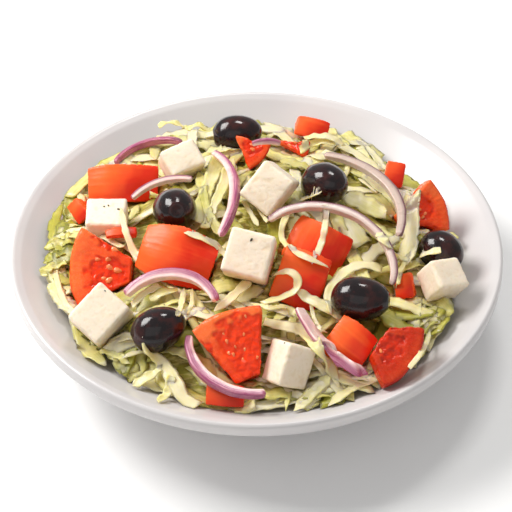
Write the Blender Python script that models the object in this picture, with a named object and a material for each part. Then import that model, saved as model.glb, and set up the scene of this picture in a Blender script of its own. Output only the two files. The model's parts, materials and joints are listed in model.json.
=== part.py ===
"""Greek salad in its round white bowl.

A turned bowl holds one heap of shredded lettuce. Black olives, feta cubes,
tomato wedges and arcs of red onion lie half sunk in the top of the heap.
The bowl stands on z = 0, centred on the origin. Lengths of the bowl and the
heap are in metres. The tables of toppings are in millimetres and degrees.
"""

import math
from collections import namedtuple

import bmesh
import bpy
from mathutils import Matrix, Vector, noise
from mathutils.bvhtree import BVHTree

MM = 0.001
NOISE_SEED = 7

# Bowl
BOWL_RADIUS = 0.110
BOWL_HEIGHT = 0.042
BOWL_DEPTH = 0.034
BOWL_WALL = 0.0055
INNER_SPHERE = 0.186
LIP_HEIGHT = 0.0068
LIP_TOP_WIDTH = 0.0034
LIP_ROUNDING = 0.0017
LIP_SLOPE = 0.0008
LIP_UNDERCUT = 0.0042
LIP_INNER_EASE = 0.0016
FOOT_RADIUS = 0.049
FOOT_WIDTH = 0.0045
FOOT_RECESS = 0.0022
FOOT_SLOPE = 0.0020
FOOT_EASE = 0.0012
BOWL_SEGMENTS = 60
BOWL_ARC_STEPS = 7

# Heap of lettuce
HEAP_RADIUS = 0.096
HEAP_UNEVENNESS = 0.0030
HEAP_OUTLINE_WAVES = 2.6
HEAP_OUTLINE_START = (3.0, 1.0, 4.0)
HEAP_EDGE_HEIGHT = 0.0355
HEAP_RISE = 0.0195
HEAP_RELIEF = 0.0022
HEAP_RELIEF_SCALE = 0.016
HEAP_RINGS = 19
HEAP_GAP = 0.0009
HEAP_LEAST_THICKNESS = 0.0008
POCKET_GAP = 0.0012
POCKET_SEARCH = 5
POCKET_REACH = 1.4 * HEAP_RADIUS / HEAP_RINGS
UNDERSIDE_RINGS = ((60, 0.78), (36, 0.52), (18, 0.26))

# Olive, long axis along Z
OLIVE_SIDES = 14
OLIVE_RINGS = 8

# Tomato
TOMATO_SIDES = 22
TOMATO_RINGS = 13
TOMATO_CUT_CENTRE = 0.6

# Feta, in millimetres
FETA_BEVEL = 0.8
FETA_UNEVENNESS = 0.7

# Onion arc, in millimetres
ONION_SECTIONS = 13
ONION_BULGE = 0.5
ONION_HOLLOW = 0.2
ONION_INNER_SHARE = 0.8
ONION_TIP_SHARE = 0.72
ONION_TIP_CURVE = 0.6

# A topping's own +Z points to azimuth and elevation, and spin turns it about that line.
# Lift is the height of the topping's own origin over the plain dome of the heap.
Pose = namedtuple("Pose", "x y lift azimuth elevation spin")

Olive = namedtuple("Olive", "length width egg pose")
OLIVES = (
    Olive(23.5, 17.5, 0.10, Pose(-9, 68, 4, 5, 5, 0)),
    Olive(23.0, 19.5, 0.08, Pose(-36, 3, 6, -80, 40, 0)),
    Olive(24.5, 19.5, 0.12, Pose(31, 21, 6, -50, 30, 0)),
    Olive(21.0, 18.0, 0.10, Pose(82, -8.5, 3.5, -40, 5, 0)),
    Olive(25.5, 19.0, 0.06, Pose(44, -49, 8.5, -10, 5, 0)),
    Olive(24.0, 18.5, 0.10, Pose(-41, -62, 6, 20, 15, 0)),
)

# Sizes run along the cube's own x, y and z, and z is the face that shows most.
Feta = namedtuple("Feta", "size pose")
FETAS = (
    Feta((17, 14, 16), Pose(-34.5, 43, 3.5, -75, 60, 15)),
    Feta((18, 17, 13), Pose(-67, 7, 3, -80, 85, -10)),
    Feta((18, 21, 17), Pose(-66, -51, 6, -95, 55, -38)),
    Feta((20, 20, 19), Pose(-3, -28, 6, -95, 50, -11)),
    Feta((17, 20, 17), Pose(6, 15, 6, -105, 42, -28)),
    Feta((15, 18, 14), Pose(13.5, -78, 3, -52, 27, -38)),
    Feta((16, 14.5, 14), Pose(80.5, -29, 7, -30, 60, -35)),
)

# A wedge is the sector between two flat cuts that meet at the tomato's core. It is
# also cut across the core at start and stop, and trim takes its thin inner edge off.
# Side tells what looks out along its +Z: the cut across the core, with the skin
# towards +Y, or the skin, with the core along X.
Tomato = namedtuple("Tomato", "radius spread start stop trim side pose")
TOMATOES = (
    Tomato(35, 30, -16, 16, 20, "skin", Pose(-61, 31.3, 5, -85, 50, -2)),
    Tomato(21, 32, -4, 3.5, 11.5, "skin", Pose(-81.9, 19.6, 3, -120, 40, 60)),
    Tomato(36, 60, -12, 0, 9, "cut", Pose(-67, -25, 5, -90, 48, 88)),
    Tomato(28, 55, -18, 15, 13, "skin", Pose(-34.5, -25.5, 7, -90, 50, -18)),
    Tomato(44, 41.5, -11.5, 2, 14.5, "cut", Pose(-7.4, -77, 8.9, -90, 48, 20)),
    Tomato(24, 24, -8, 8, 19, "skin", Pose(-13, -91.6, 4.3, -95, 55, 0)),
    Tomato(20, 30, -8, 8, 10, "skin", Pose(27, 76, 5, -80, 50, -20)),
    Tomato(17, 28, -4, 2, 0, "cut", Pose(18, 59, 2, -90, 50, -105)),
    Tomato(17, 55, -4, 2, 0, "cut", Pose(-2, 49, 5, -90, 50, -130)),
    Tomato(20, 36, -4.5, 4.5, 13, "skin", Pose(64, 41.5, 4, -95, 48, -8)),
    Tomato(27, 55, -8, 2, 4, "cut", Pose(76, 15, 5, -70, 45, -83)),
    Tomato(20, 34, -6, 2.6, 13, "skin", Pose(63.5, -31.4, 1.0, -115, 50, 25)),
    Tomato(26, 65, -10, 11, 12, "skin", Pose(26.5, -16.2, 1.3, -90, 50, 62)),
    Tomato(28, 55, -11, 10, 16, "skin", Pose(19, -37, 4, -90, 50, -20)),
    Tomato(22, 55, -10, 8.5, 11, "skin", Pose(38.3, -70, 7, -100, 45, -30)),
    Tomato(28, 68, -6, 2, 11, "cut", Pose(55.9, -75, 15.2, -80, 60, -133)),
    Tomato(20, 14, -7, 7, 16, "skin", Pose(-60, -5, 6, -90, 80, 5)),
)

# The middle line of an arc passes through three points of x, y and lift. The layer
# is so thick across and the slice so high, and roll turns its section about that line.
Onion = namedtuple("Onion", "start middle end thickness height roll")
ONIONS = (
    Onion((-66, 54, 3), (-52, 67, 4), (-35, 62, 4), 3.2, 3.4, 0),
    Onion((-56, 17, 5), (-44, 25, 6), (-29, 24, 6), 4.0, 3.0, 0),
    Onion((-20, 50, 3), (-9.8, 15, 6), (-16, -16, 6), 4.2, 3.6, 0),
    Onion((-2, 46, 10), (4, 47, 11), (11, 47, 10), 3.0, 2.6, 0),
    Onion((31, 47, 5), (55, 32, 7), (62, -9, 7), 4.6, 3.0, 0),
    Onion((5, -9, 8), (43, -3.5, 9.5), (58, -38, 7), 4.0, 3.0, 0),
    Onion((-56, -42, 5), (-39, -35, 6), (-17, -51, 6), 4.8, 3.6, 0),
    Onion((-28, -65, 4), (-22, -84, 7), (4, -93, 7), 4.2, 3.4, 0),
    Onion((18, -54, 6), (29, -72, 7), (46, -84, 8), 3.4, 8.0, 70),
)

WHITE_GLAZE = (0.86, 0.85, 0.85)
LETTUCE_GREEN = (0.66, 0.64, 0.34)
OLIVE_BLACK = (0.012, 0.010, 0.013)
FETA_WHITE = (0.88, 0.84, 0.72)
TOMATO_RED = (0.75, 0.06, 0.02)
ONION_PINK = (0.74, 0.50, 0.58)

BOWL_FLOOR = BOWL_HEIGHT - BOWL_DEPTH


def clear_scene():
    for obj in list(bpy.data.objects):
        bpy.data.objects.remove(obj, do_unlink=True)


def make_material(name, color, roughness):
    material = bpy.data.materials.new(name)
    material.use_nodes = True
    shader = material.node_tree.nodes["Principled BSDF"]
    shader.inputs["Base Color"].default_value = (*color, 1.0)
    shader.inputs["Roughness"].default_value = roughness
    shader.inputs["Metallic"].default_value = 0.0
    material.diffuse_color = (*color, 1.0)
    return material


def add_object(name, bm, material, sharp_angle):
    """Turns the bmesh into an object, smooth except at edges past the angle."""
    bmesh.ops.recalc_face_normals(bm, faces=bm.faces)
    if bm.calc_volume(signed=True) < 0:
        bmesh.ops.reverse_faces(bm, faces=bm.faces)
    mesh = bpy.data.meshes.new(name)
    bm.to_mesh(mesh)
    bm.free()
    mesh.shade_smooth()
    mesh.set_sharp_from_angle(angle=math.radians(sharp_angle))
    mesh.materials.append(material)
    obj = bpy.data.objects.new(name, mesh)
    bpy.context.collection.objects.link(obj)
    return obj


def dome_height(x, y):
    """Height of the heap's plain dome over the table, without its relief."""
    reach = min(math.hypot(x, y) / HEAP_RADIUS, 1.0)
    return HEAP_EDGE_HEIGHT + HEAP_RISE * (1.0 - reach**2)


def pose_matrix(pose):
    """Stands a topping's own +Z along azimuth and elevation, at its lift over the dome."""
    x = pose.x * MM
    y = pose.y * MM
    place = Matrix.Translation((x, y, dome_height(x, y) + pose.lift * MM))
    heading = Matrix.Rotation(math.radians(pose.azimuth + 90.0), 4, "Z")
    slope = Matrix.Rotation(math.radians(90.0 - pose.elevation), 4, "X")
    spin = Matrix.Rotation(math.radians(pose.spin), 4, "Z")
    return place @ heading @ slope @ spin


def inner_height(radius):
    """Height of the bowl's hollow at a radius."""
    return BOWL_FLOOR + INNER_SPHERE - math.sqrt(INNER_SPHERE**2 - radius**2)


def outer_height(radius):
    """Height of the bowl's underside at a radius, one wall thickness outside the hollow."""
    sphere = INNER_SPHERE + BOWL_WALL
    return BOWL_FLOOR + INNER_SPHERE - math.sqrt(sphere**2 - radius**2)


def quarter_turn(centre, radius, start, steps):
    """Points of a quarter circle, counterclockwise from the start angle in degrees."""
    points = []
    for step in range(steps + 1):
        angle = math.radians(start + 90.0 * step / steps)
        r = centre[0] + radius * math.cos(angle)
        z = centre[1] + radius * math.sin(angle)
        points.append((r, z))
    return points


def bowl_foot():
    """The foot ring in half section, from the middle of the underside outwards."""
    inside = FOOT_RADIUS - FOOT_WIDTH
    return [
        (0.0, FOOT_RECESS),
        (inside - FOOT_SLOPE, FOOT_RECESS),
        (inside, 0.0),
        (FOOT_RADIUS, 0.0),
        (FOOT_RADIUS + FOOT_EASE, FOOT_EASE),
    ]


def bowl_lip():
    """The straight upright lip in half section, from its lower edge to its inner edge."""
    bottom = BOWL_HEIGHT - LIP_HEIGHT
    rounding_centre = (BOWL_RADIUS - LIP_ROUNDING, BOWL_HEIGHT - LIP_ROUNDING)
    points = [(BOWL_RADIUS - LIP_SLOPE, bottom), (BOWL_RADIUS, bottom + 2 * LIP_SLOPE)]
    points += quarter_turn(rounding_centre, LIP_ROUNDING, 0.0, 2)
    points.append((BOWL_RADIUS - LIP_TOP_WIDTH, BOWL_HEIGHT - LIP_SLOPE))
    return points


def bowl_wall(height_at, start, end):
    """One side of the wall in half section, between two radii."""
    points = []
    for step in range(BOWL_ARC_STEPS + 1):
        radius = start + (end - start) * step / BOWL_ARC_STEPS
        points.append((radius, height_at(radius)))
    return points


def bowl_profile():
    """Half section of the bowl, from the middle of the underside round to the hollow's."""
    points = bowl_foot()
    points += bowl_wall(outer_height, points[-1][0], BOWL_RADIUS - LIP_UNDERCUT)
    points += bowl_lip()
    points += bowl_wall(inner_height, points[-1][0] - LIP_INNER_EASE, 0.0)
    return points


def make_bowl(material):
    bm = bmesh.new()
    verts = [bm.verts.new((r, 0.0, z)) for r, z in bowl_profile()]
    edges = [bm.edges.new(pair) for pair in zip(verts, verts[1:])]
    bmesh.ops.spin(
        bm,
        geom=verts + edges,
        cent=(0.0, 0.0, 0.0),
        axis=(0.0, 0.0, 1.0),
        angle=math.tau,
        steps=BOWL_SEGMENTS,
        use_merge=True,
    )
    bmesh.ops.remove_doubles(bm, verts=bm.verts, dist=1e-6)
    return add_object("bowl", bm, material, 50.0)


def make_olive(name, olive, material):
    """An egg-shaped olive, its long axis along its own +Z."""
    bm = bmesh.new()
    bmesh.ops.create_uvsphere(bm, u_segments=OLIVE_SIDES, v_segments=OLIVE_RINGS, radius=1.0)
    for vert in bm.verts:
        waist = (1.0 - olive.egg * vert.co.z) * olive.width / 2
        vert.co = Vector((vert.co.x * waist, vert.co.y * waist, vert.co.z * olive.length / 2))
    bm.transform(Matrix.Scale(MM, 4))
    obj = add_object(name, bm, material, 60.0)
    obj.matrix_world = pose_matrix(olive.pose)
    return obj


def make_feta(name, feta, seed, material):
    """A hand-cut cube: its corners wander a little and its edges are worn."""
    bm = bmesh.new()
    bmesh.ops.create_cube(bm, size=1.0)
    for index, vert in enumerate(bm.verts):
        corner = Vector(vert.co[axis] * feta.size[axis] for axis in range(3))
        wander = noise.noise_vector(Vector((seed + 0.3, index + 0.6, 0.5)))
        vert.co = corner + wander * FETA_UNEVENNESS
    bmesh.ops.bevel(bm, geom=bm.edges, offset=FETA_BEVEL, segments=1, affect="EDGES")
    bm.transform(Matrix.Scale(MM, 4))
    obj = add_object(name, bm, material, 30.0)
    obj.matrix_world = pose_matrix(feta.pose)
    return obj


def slice_away(bm, point, normal):
    """Cuts off all that lies past a plane, and closes the cut with one flat face."""
    geometry = bm.verts[:] + bm.edges[:] + bm.faces[:]
    bmesh.ops.bisect_plane(
        bm, geom=geometry, dist=1e-4, plane_co=point, plane_no=normal, clear_outer=True
    )
    rim = [edge for edge in bm.edges if edge.is_boundary]
    bmesh.ops.holes_fill(bm, edges=rim)


def make_tomato(name, tomato, material):
    """A wedge of a round tomato, first cut out with the core along its own Z axis."""
    bm = bmesh.new()
    bmesh.ops.create_uvsphere(
        bm, u_segments=TOMATO_SIDES, v_segments=TOMATO_RINGS, radius=tomato.radius
    )
    half = math.radians(tomato.spread / 2)
    slice_away(bm, (0.0, 0.0, tomato.stop), (0.0, 0.0, 1.0))
    slice_away(bm, (0.0, 0.0, tomato.start), (0.0, 0.0, -1.0))
    slice_away(bm, (0.0, 0.0, 0.0), (math.cos(half), -math.sin(half), 0.0))
    slice_away(bm, (0.0, 0.0, 0.0), (-math.cos(half), -math.sin(half), 0.0))
    if tomato.trim > 0:
        slice_away(bm, (0.0, tomato.trim, 0.0), (0.0, -1.0, 0.0))
    if tomato.side == "skin":
        middle = (tomato.start + tomato.stop) / 2
        anchor = Matrix.Translation((0.0, -tomato.radius, -middle))
        turned = Matrix(((0, 0, 1, 0), (1, 0, 0, 0), (0, 1, 0, 0), (0, 0, 0, 1)))
        bm.transform(Matrix.Scale(MM, 4) @ turned @ anchor)
    else:
        anchor = Matrix.Translation((0.0, -TOMATO_CUT_CENTRE * tomato.radius, -tomato.stop))
        bm.transform(Matrix.Scale(MM, 4) @ anchor)
    obj = add_object(name, bm, material, 25.0)
    obj.matrix_world = pose_matrix(tomato.pose)
    return obj


def over_heap(point):
    x, y, lift = (value * MM for value in point)
    return Vector((x, y, dome_height(x, y) + lift))


def circle_through(first, second, third):
    """Centre, axis and radius of the circle through three points."""
    to_second = second - first
    to_third = third - first
    axis = to_second.cross(to_third)
    offset = (
        to_third.length_squared * axis.cross(to_second)
        + to_second.length_squared * to_third.cross(axis)
    ) / (2.0 * axis.length_squared)
    return first + offset, axis.normalized(), offset.length


def onion_section(thickness, height):
    """Six corners of a layer's cut section, as pairs of outward and sideways distance."""
    layer = thickness / 2
    half = height / 2
    return (
        (layer - ONION_BULGE, -half),
        (layer, 0.0),
        (layer - ONION_BULGE, half),
        (-layer, half * ONION_INNER_SHARE),
        (-layer + ONION_HOLLOW, 0.0),
        (-layer, -half * ONION_INNER_SHARE),
    )


def make_onion(name, onion, material):
    """An arc of one onion layer, thinner towards both ends."""
    first, second, third = (over_heap(p) for p in (onion.start, onion.middle, onion.end))
    centre, axis, radius = circle_through(first, second, third)
    along = (first - centre).normalized()
    across = axis.cross(along)
    end = (third - centre).normalized()
    sweep = math.atan2(end.dot(across), end.dot(along)) % math.tau
    bm = bmesh.new()
    rings = []
    for section in range(ONION_SECTIONS):
        share = section / (ONION_SECTIONS - 1)
        angle = sweep * share
        outward = along * math.cos(angle) + across * math.sin(angle)
        tangent = across * math.cos(angle) - along * math.sin(angle)
        roll = Matrix.Rotation(math.radians(onion.roll), 3, tangent)
        fullness = math.sin(math.pi * share) ** ONION_TIP_CURVE
        size = MM * (ONION_TIP_SHARE + (1.0 - ONION_TIP_SHARE) * fullness)
        ring = []
        for out, side in onion_section(onion.thickness, onion.height):
            offset = roll @ (outward * out + axis * side)
            ring.append(bm.verts.new(centre + outward * radius + offset * size))
        rings.append(ring)
    for ring, following in zip(rings, rings[1:]):
        for corner in range(len(ring)):
            after = (corner + 1) % len(ring)
            bm.faces.new((ring[corner], ring[after], following[after], following[corner]))
    bm.faces.new(rings[0])
    bm.faces.new(rings[-1])
    return add_object(name, bm, material, 40.0)


def underside_finder(toppings):
    """A function that gives the lowest point of any topping near a place, or None."""
    bpy.context.view_layer.update()
    joined = bmesh.new()
    for topping in toppings:
        before = len(joined.verts)
        joined.from_mesh(topping.data)
        joined.verts.ensure_lookup_table()
        fresh = joined.verts[before:]
        bmesh.ops.transform(joined, matrix=topping.matrix_world, verts=fresh)
    tree = BVHTree.FromBMesh(joined)
    joined.free()
    up = Vector((0.0, 0.0, 1.0))

    def lowest(x, y):
        found = None
        for ring in range(POCKET_SEARCH + 1):
            away = POCKET_REACH * ring / POCKET_SEARCH
            steps = max(1, 6 * ring)
            for step in range(steps):
                angle = math.tau * step / steps
                near = Vector((x + away * math.cos(angle), y + away * math.sin(angle), 0.0))
                hit = tree.ray_cast(near, up)[0]
                if hit is not None:
                    found = hit.z if found is None else min(found, hit.z)
        return found

    return lowest


def heap_edge(angle):
    """Uneven outline of the heap: its radius at an angle."""
    direction = Vector((math.cos(angle), math.sin(angle), 0.0))
    place = direction * HEAP_OUTLINE_WAVES + Vector(HEAP_OUTLINE_START)
    return HEAP_RADIUS + HEAP_UNEVENNESS * noise.noise(place)


def ring_of(bm, count, radius_at, height_at):
    """Verts of one ring, at a radius and a height that both depend on the angle or place."""
    verts = []
    for step in range(count):
        angle = math.tau * step / count
        radius = radius_at(angle)
        x = radius * math.cos(angle)
        y = radius * math.sin(angle)
        verts.append(bm.verts.new((x, y, height_at(x, y))))
    return verts


def stitch(bm, outer, inner):
    """Joins two rings of different counts with triangles. The inner one may be a single point."""
    out = 0
    into = 0
    inner_steps = len(inner) if len(inner) > 1 else 0
    while out < len(outer) or into < inner_steps:
        here = outer[out % len(outer)]
        there = inner[into % len(inner)]
        if (out + 1) * len(inner) <= (into + 1) * len(outer):
            bm.faces.new((here, outer[(out + 1) % len(outer)], there))
            out += 1
        else:
            bm.faces.new((here, inner[(into + 1) % len(inner)], there))
            into += 1


def make_heap(toppings, material):
    """The whole heap of lettuce out to its uneven outline, with a pocket under each topping."""
    bm = bmesh.new()
    lowest = underside_finder(toppings)

    def resting_height(x, y):
        return inner_height(math.hypot(x, y)) + HEAP_GAP

    def top_height(x, y):
        wave = noise.noise(Vector((x, y, 0.0)) / HEAP_RELIEF_SCALE)
        height = dome_height(x, y) + HEAP_RELIEF * wave
        underside = lowest(x, y)
        if underside is not None:
            height = min(height, underside - POCKET_GAP)
        return max(height, resting_height(x, y) + HEAP_LEAST_THICKNESS)

    outline = ring_of(bm, 6 * HEAP_RINGS, heap_edge, resting_height)
    outer = outline
    for ring in range(HEAP_RINGS - 1, 0, -1):
        share = ring / HEAP_RINGS
        inner = ring_of(bm, 6 * ring, lambda angle: heap_edge(angle) * share, top_height)
        stitch(bm, outer, inner)
        outer = inner
    stitch(bm, outer, [bm.verts.new((0.0, 0.0, top_height(0.0, 0.0)))])
    outer = outline
    for count, share in UNDERSIDE_RINGS:
        inner = ring_of(bm, count, lambda angle: heap_edge(angle) * share, resting_height)
        stitch(bm, outer, inner)
        outer = inner
    stitch(bm, outer, [bm.verts.new((0.0, 0.0, resting_height(0.0, 0.0)))])
    return add_object("lettuce", bm, material, 40.0)


def numbered(stem, index):
    return f"{stem}_{index + 1:02d}"


def make_toppings():
    olive_skin = make_material("olive_skin", OLIVE_BLACK, 0.18)
    feta_cheese = make_material("feta_cheese", FETA_WHITE, 0.55)
    tomato_flesh = make_material("tomato_flesh", TOMATO_RED, 0.22)
    onion_layer = make_material("onion_layer", ONION_PINK, 0.30)
    toppings = []
    for index, olive in enumerate(OLIVES):
        toppings.append(make_olive(numbered("olive", index), olive, olive_skin))
    for index, feta in enumerate(FETAS):
        toppings.append(make_feta(numbered("feta", index), feta, index, feta_cheese))
    for index, tomato in enumerate(TOMATOES):
        toppings.append(make_tomato(numbered("tomato", index), tomato, tomato_flesh))
    for index, onion in enumerate(ONIONS):
        toppings.append(make_onion(numbered("onion", index), onion, onion_layer))
    return toppings


def main():
    noise.seed_set(NOISE_SEED)
    clear_scene()
    make_bowl(make_material("bowl_glaze", WHITE_GLAZE, 0.12))
    toppings = make_toppings()
    make_heap(toppings, make_material("lettuce_leaf", LETTUCE_GREEN, 0.45))


main()
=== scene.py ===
"""Greek salad in its round white bowl: the finished surfaces and the loose lettuce.

Every topping is shaped from its own CAD node, so it lies where the CAD model has it.
The heap of lettuce is a smaller core under many loose shreds. Sizes are in metres.
"""

import json
import math
import random
from collections import namedtuple

import bmesh
import bpy
import numpy as np
from bpy.props import FloatProperty, FloatVectorProperty, IntProperty, PointerProperty
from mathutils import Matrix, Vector, noise
from mathutils.bvhtree import BVHTree

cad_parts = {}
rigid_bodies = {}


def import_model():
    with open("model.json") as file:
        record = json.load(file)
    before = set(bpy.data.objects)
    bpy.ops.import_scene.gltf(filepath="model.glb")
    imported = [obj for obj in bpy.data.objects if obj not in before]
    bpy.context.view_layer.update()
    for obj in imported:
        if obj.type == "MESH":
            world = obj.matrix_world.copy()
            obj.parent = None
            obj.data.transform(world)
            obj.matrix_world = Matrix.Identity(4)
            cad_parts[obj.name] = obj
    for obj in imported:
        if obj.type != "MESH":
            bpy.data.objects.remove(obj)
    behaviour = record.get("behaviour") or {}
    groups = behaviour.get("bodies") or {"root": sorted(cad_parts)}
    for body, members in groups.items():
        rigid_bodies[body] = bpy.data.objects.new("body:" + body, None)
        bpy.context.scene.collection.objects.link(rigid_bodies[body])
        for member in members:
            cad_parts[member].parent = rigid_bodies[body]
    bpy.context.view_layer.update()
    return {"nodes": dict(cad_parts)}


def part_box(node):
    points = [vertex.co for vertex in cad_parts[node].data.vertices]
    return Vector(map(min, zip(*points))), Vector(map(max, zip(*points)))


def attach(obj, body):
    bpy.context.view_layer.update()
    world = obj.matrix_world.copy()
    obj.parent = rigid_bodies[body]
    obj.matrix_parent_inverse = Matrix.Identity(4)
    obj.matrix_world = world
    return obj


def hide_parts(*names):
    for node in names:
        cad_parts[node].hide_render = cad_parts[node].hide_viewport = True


bl_info = {
    "name": "Greek Salad",
    "version": (1, 0, 0),
    "blender": (4, 5, 0),
    "location": "3D View > Sidebar > Salad",
    "description": "Finishes a Greek salad in its bowl around its CAD model",
    "category": "Object",
}

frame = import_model()
MM = 0.001
UP = Vector((0.0, 0.0, 1.0))

# How finely the meshes are built.
WALL_STEPS, LIP_STEPS, HOLLOW_STEPS = 24, 8, 32
OLIVE_RINGS, OLIVE_SIDES = 44, 60
ONION_ROWS, ONION_SIDES = 73, 28
SEED_RINGS, SEED_SIDES = 7, 12
CORE_CIRCLES, CORE_ROWS, CORE_SIDES = 54, 8, 150
EASE_TIMES, EASE_STEPS = 8, 4

BOWL_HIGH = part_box("bowl")[1]
BOWL_RADIUS = BOWL_HIGH.x
BOWL_HEIGHT = BOWL_HIGH.z

OLIVES, FETAS, TOMATOES, ONIONS = (
    sorted(name for name in frame["nodes"] if name.startswith(kind))
    for kind in ("olive", "feta", "tomato", "onion")
)


def tint(name, default):
    about = f"{name} as linear red, green and blue"
    return FloatVectorProperty(
        name=name, description=about, default=default, size=3, subtype="COLOR", min=0.0, max=1.0
    )


def number(name, description, default, **more):
    return FloatProperty(name=name, description=description, default=default, **more)


def length(name, description, default):
    return number(name, description, default, min=0.0, unit="LENGTH", precision=5)


def count(name, description, default, low=0, high=2000):
    return IntProperty(name=name, description=description, default=default, min=low, max=high)


class SaladBowlSettings(bpy.types.PropertyGroup):
    """Sizes and colours of the bowl."""

    depth: length("Depth", "Depth of the hollow at the middle", 0.034)
    wall: length("Wall", "Thickness of the wall", 0.0055)
    inner_sphere: length("Hollow radius", "Radius of the hollow's curve", 0.186)
    lip_height: length("Lip height", "Height of the upright outer face", 0.0068)
    lip_top: length("Lip top", "Width of the rim's top", 0.0034)
    lip_rounding: length("Lip rounding", "Rounding of the rim's outer edge", 0.0017)
    foot_radius: length("Foot radius", "Outer radius of the foot ring", 0.049)
    foot_width: length("Foot width", "Width of the foot ring", 0.0045)
    foot_recess: length("Foot recess", "Height of the underside in the ring", 0.0022)
    segments: count("Segments", "Facets around the bowl", 224, 48, 512)
    glaze: tint("Glaze", (0.62, 0.595, 0.59))
    glaze_shade: tint("Glaze in thick places", (0.57, 0.55, 0.555))


class SaladLettuceSettings(bpy.types.PropertyGroup):
    """Sizes and colours of the shredded lettuce."""

    edge_height: length("Edge height", "Height of the heap's edge", 0.0355)
    rise: length("Rise", "Height of the heap's middle over its edge", 0.0195)
    radius: length("Radius", "Radius of the heap", 0.096)
    core_drop: length("Core drop", "Depth of the core under the heap's top", 0.0055)
    leaf_shreds: count("Leaf shreds", "Thin shreds of green leaf", 150)
    rib_shreds: count("Rib shreds", "Thicker shreds of pale rib", 90)
    cream: tint("Rib", (0.92, 0.77, 0.46))
    pale: tint("Pale leaf", (0.78, 0.67, 0.25))
    green: tint("Green leaf", (0.42, 0.39, 0.045))
    dark: tint("Dark leaf", (0.14, 0.14, 0.010))
    # The deep leaf colour is painted shade: the dark olive-brown of the gaps between the shreds.
    deep: tint("Painted shade in the heap", (0.22, 0.15, 0.015))
    seed: count("Seed", "Start of the random draws", 11)


class SaladOliveSettings(bpy.types.PropertyGroup):
    """Sizes and colours of the olives."""

    skin: tint("Skin", (0.010, 0.006, 0.007))
    skin_brown: tint("Skin, browner", (0.055, 0.012, 0.010))
    dimple_radius: length("Dimple radius", "Radius of the stem's dimple", 0.0022)
    dimple_depth: length("Dimple depth", "Depth of the stem's dimple", 0.0012)


class SaladFetaSettings(bpy.types.PropertyGroup):
    """Sizes and colours of the feta cubes."""

    cheese: tint("Cheese", (0.91, 0.79, 0.63))
    # The pit colour is painted shade in the crumbly pits, and the darker tone of the random mottle.
    pit: tint("Cheese in its pits", (0.84, 0.69, 0.49))
    herb: tint("Herb", (0.06, 0.07, 0.03))
    voxel: length("Mesh size", "Size of the mesh's facets", 0.0006)
    crumb: length("Crumb depth", "Depth of the crumbly pits", 0.00014)


class SaladTomatoSettings(bpy.types.PropertyGroup):
    """Sizes and colours of the tomato wedges."""

    skin: tint("Skin", (0.76, 0.024, 0.002))
    # The warmer skin colour is random warm tone and also painted light on the lit side of each
    # wedge; the plain skin colour is its painted shade.
    skin_warm: tint("Skin, warmer", (1.0, 0.140, 0.018))
    # The ripest red is also painted shade on the wedges that lie in shadow.
    deep: tint("Ripest red and painted shade", (0.50, 0.018, 0.004))
    flesh: tint("Flesh", (0.98, 0.068, 0.006))
    wall: tint("Pale wall", (1.0, 0.17, 0.036))
    gel: tint("Gel", (0.92, 0.042, 0.003))
    seed: tint("Seeds", (0.95, 0.30, 0.09))
    voxel: length("Mesh size", "Size of the mesh's facets", 0.00055)
    gel_depth: length("Gel depth", "Depth of the seed chambers", 0.0010)


class SaladOnionSettings(bpy.types.PropertyGroup):
    """Colours of the red onion."""

    flesh: tint("Flesh", (0.90, 0.68, 0.62))
    blush: tint("Blush", (0.74, 0.38, 0.42))
    outer: tint("Outer side", (0.30, 0.045, 0.14))
    faded: tint("Faded flesh", (0.58, 0.45, 0.38))
    faded_outer: tint("Faded outer side", (0.16, 0.07, 0.08))


class SaladStageSettings(bpy.types.PropertyGroup):
    """Camera, lights and floor."""

    distance: length("Camera distance", "Distance from the middle", 0.80)
    elevation: number("Camera elevation", "Camera's angle", math.radians(43.1), subtype="ANGLE")
    lens: number("Lens", "Focal length in mm", 124.8, min=10.0)
    aim_height: length("Aim height", "Height that the camera looks at", 0.0333)
    aim_side: number("Aim side", "Sideways shift of the aim", -0.0002, unit="LENGTH")
    key: number("Key light", "Power in watts", 12.5, min=0.0)
    fill: number("Fill light", "Power in watts", 3.2, min=0.0)
    front: number("Front light", "Power in watts", 2.6, min=0.0)
    sky: number("Sky", "Strength of the room's light", 0.45, min=0.0)
    floor: tint("Floor", (0.96, 0.96, 0.96))


# Building of meshes


def rows_of(values, name):
    """Three numbers of each point, as one row of an array."""
    flat = np.empty(len(values) * 3, np.float32)
    values.foreach_get(name, flat)
    return flat.reshape(-1, 3).astype(float)


def points_of(obj):
    return rows_of(obj.data.vertices, "co")


def move_points(obj, points):
    obj.data.vertices.foreach_set("co", points.astype(np.float32).ravel())
    obj.data.update()


def push_out(obj, push):
    """Moves each point along its normal."""
    normals = rows_of(obj.data.vertex_normals, "vector")
    move_points(obj, points_of(obj) + normals * push[:, None])


def store(obj, **values):
    """Keeps numbers for each point on the mesh, for its material."""
    for name, numbers in values.items():
        data = obj.data.attributes.new(name, "FLOAT", "POINT").data
        data.foreach_set("value", np.full(len(data), numbers, np.float32))


def noise_at(points, scale, shift):
    """Smooth noise from -1 to 1 at each point, with lumps of about the scale."""
    offset = Vector((shift, shift * 0.7, shift * 1.3))
    return np.array([noise.noise(Vector(point) / scale + offset) for point in points])


def smooth_step(values, low, high):
    share = np.clip((values - low) / (high - low), 0.0, 1.0)
    return share * share * (3.0 - 2.0 * share)


def turned(radius, angle, height=0.0):
    """The place at that radius and angle about the bowl's axis."""
    return (radius * math.cos(angle), radius * math.sin(angle), height)


def link(name, data):
    obj = bpy.data.objects.new(name, data)
    bpy.context.scene.collection.objects.link(obj)
    return obj


def object_from(name, points, faces):
    """A smooth mesh object of these points and faces."""
    mesh = bpy.data.meshes.new(name)
    mesh.from_pydata(points, [], faces)
    mesh.update()
    mesh.shade_smooth()
    return link(name, mesh)


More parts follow.
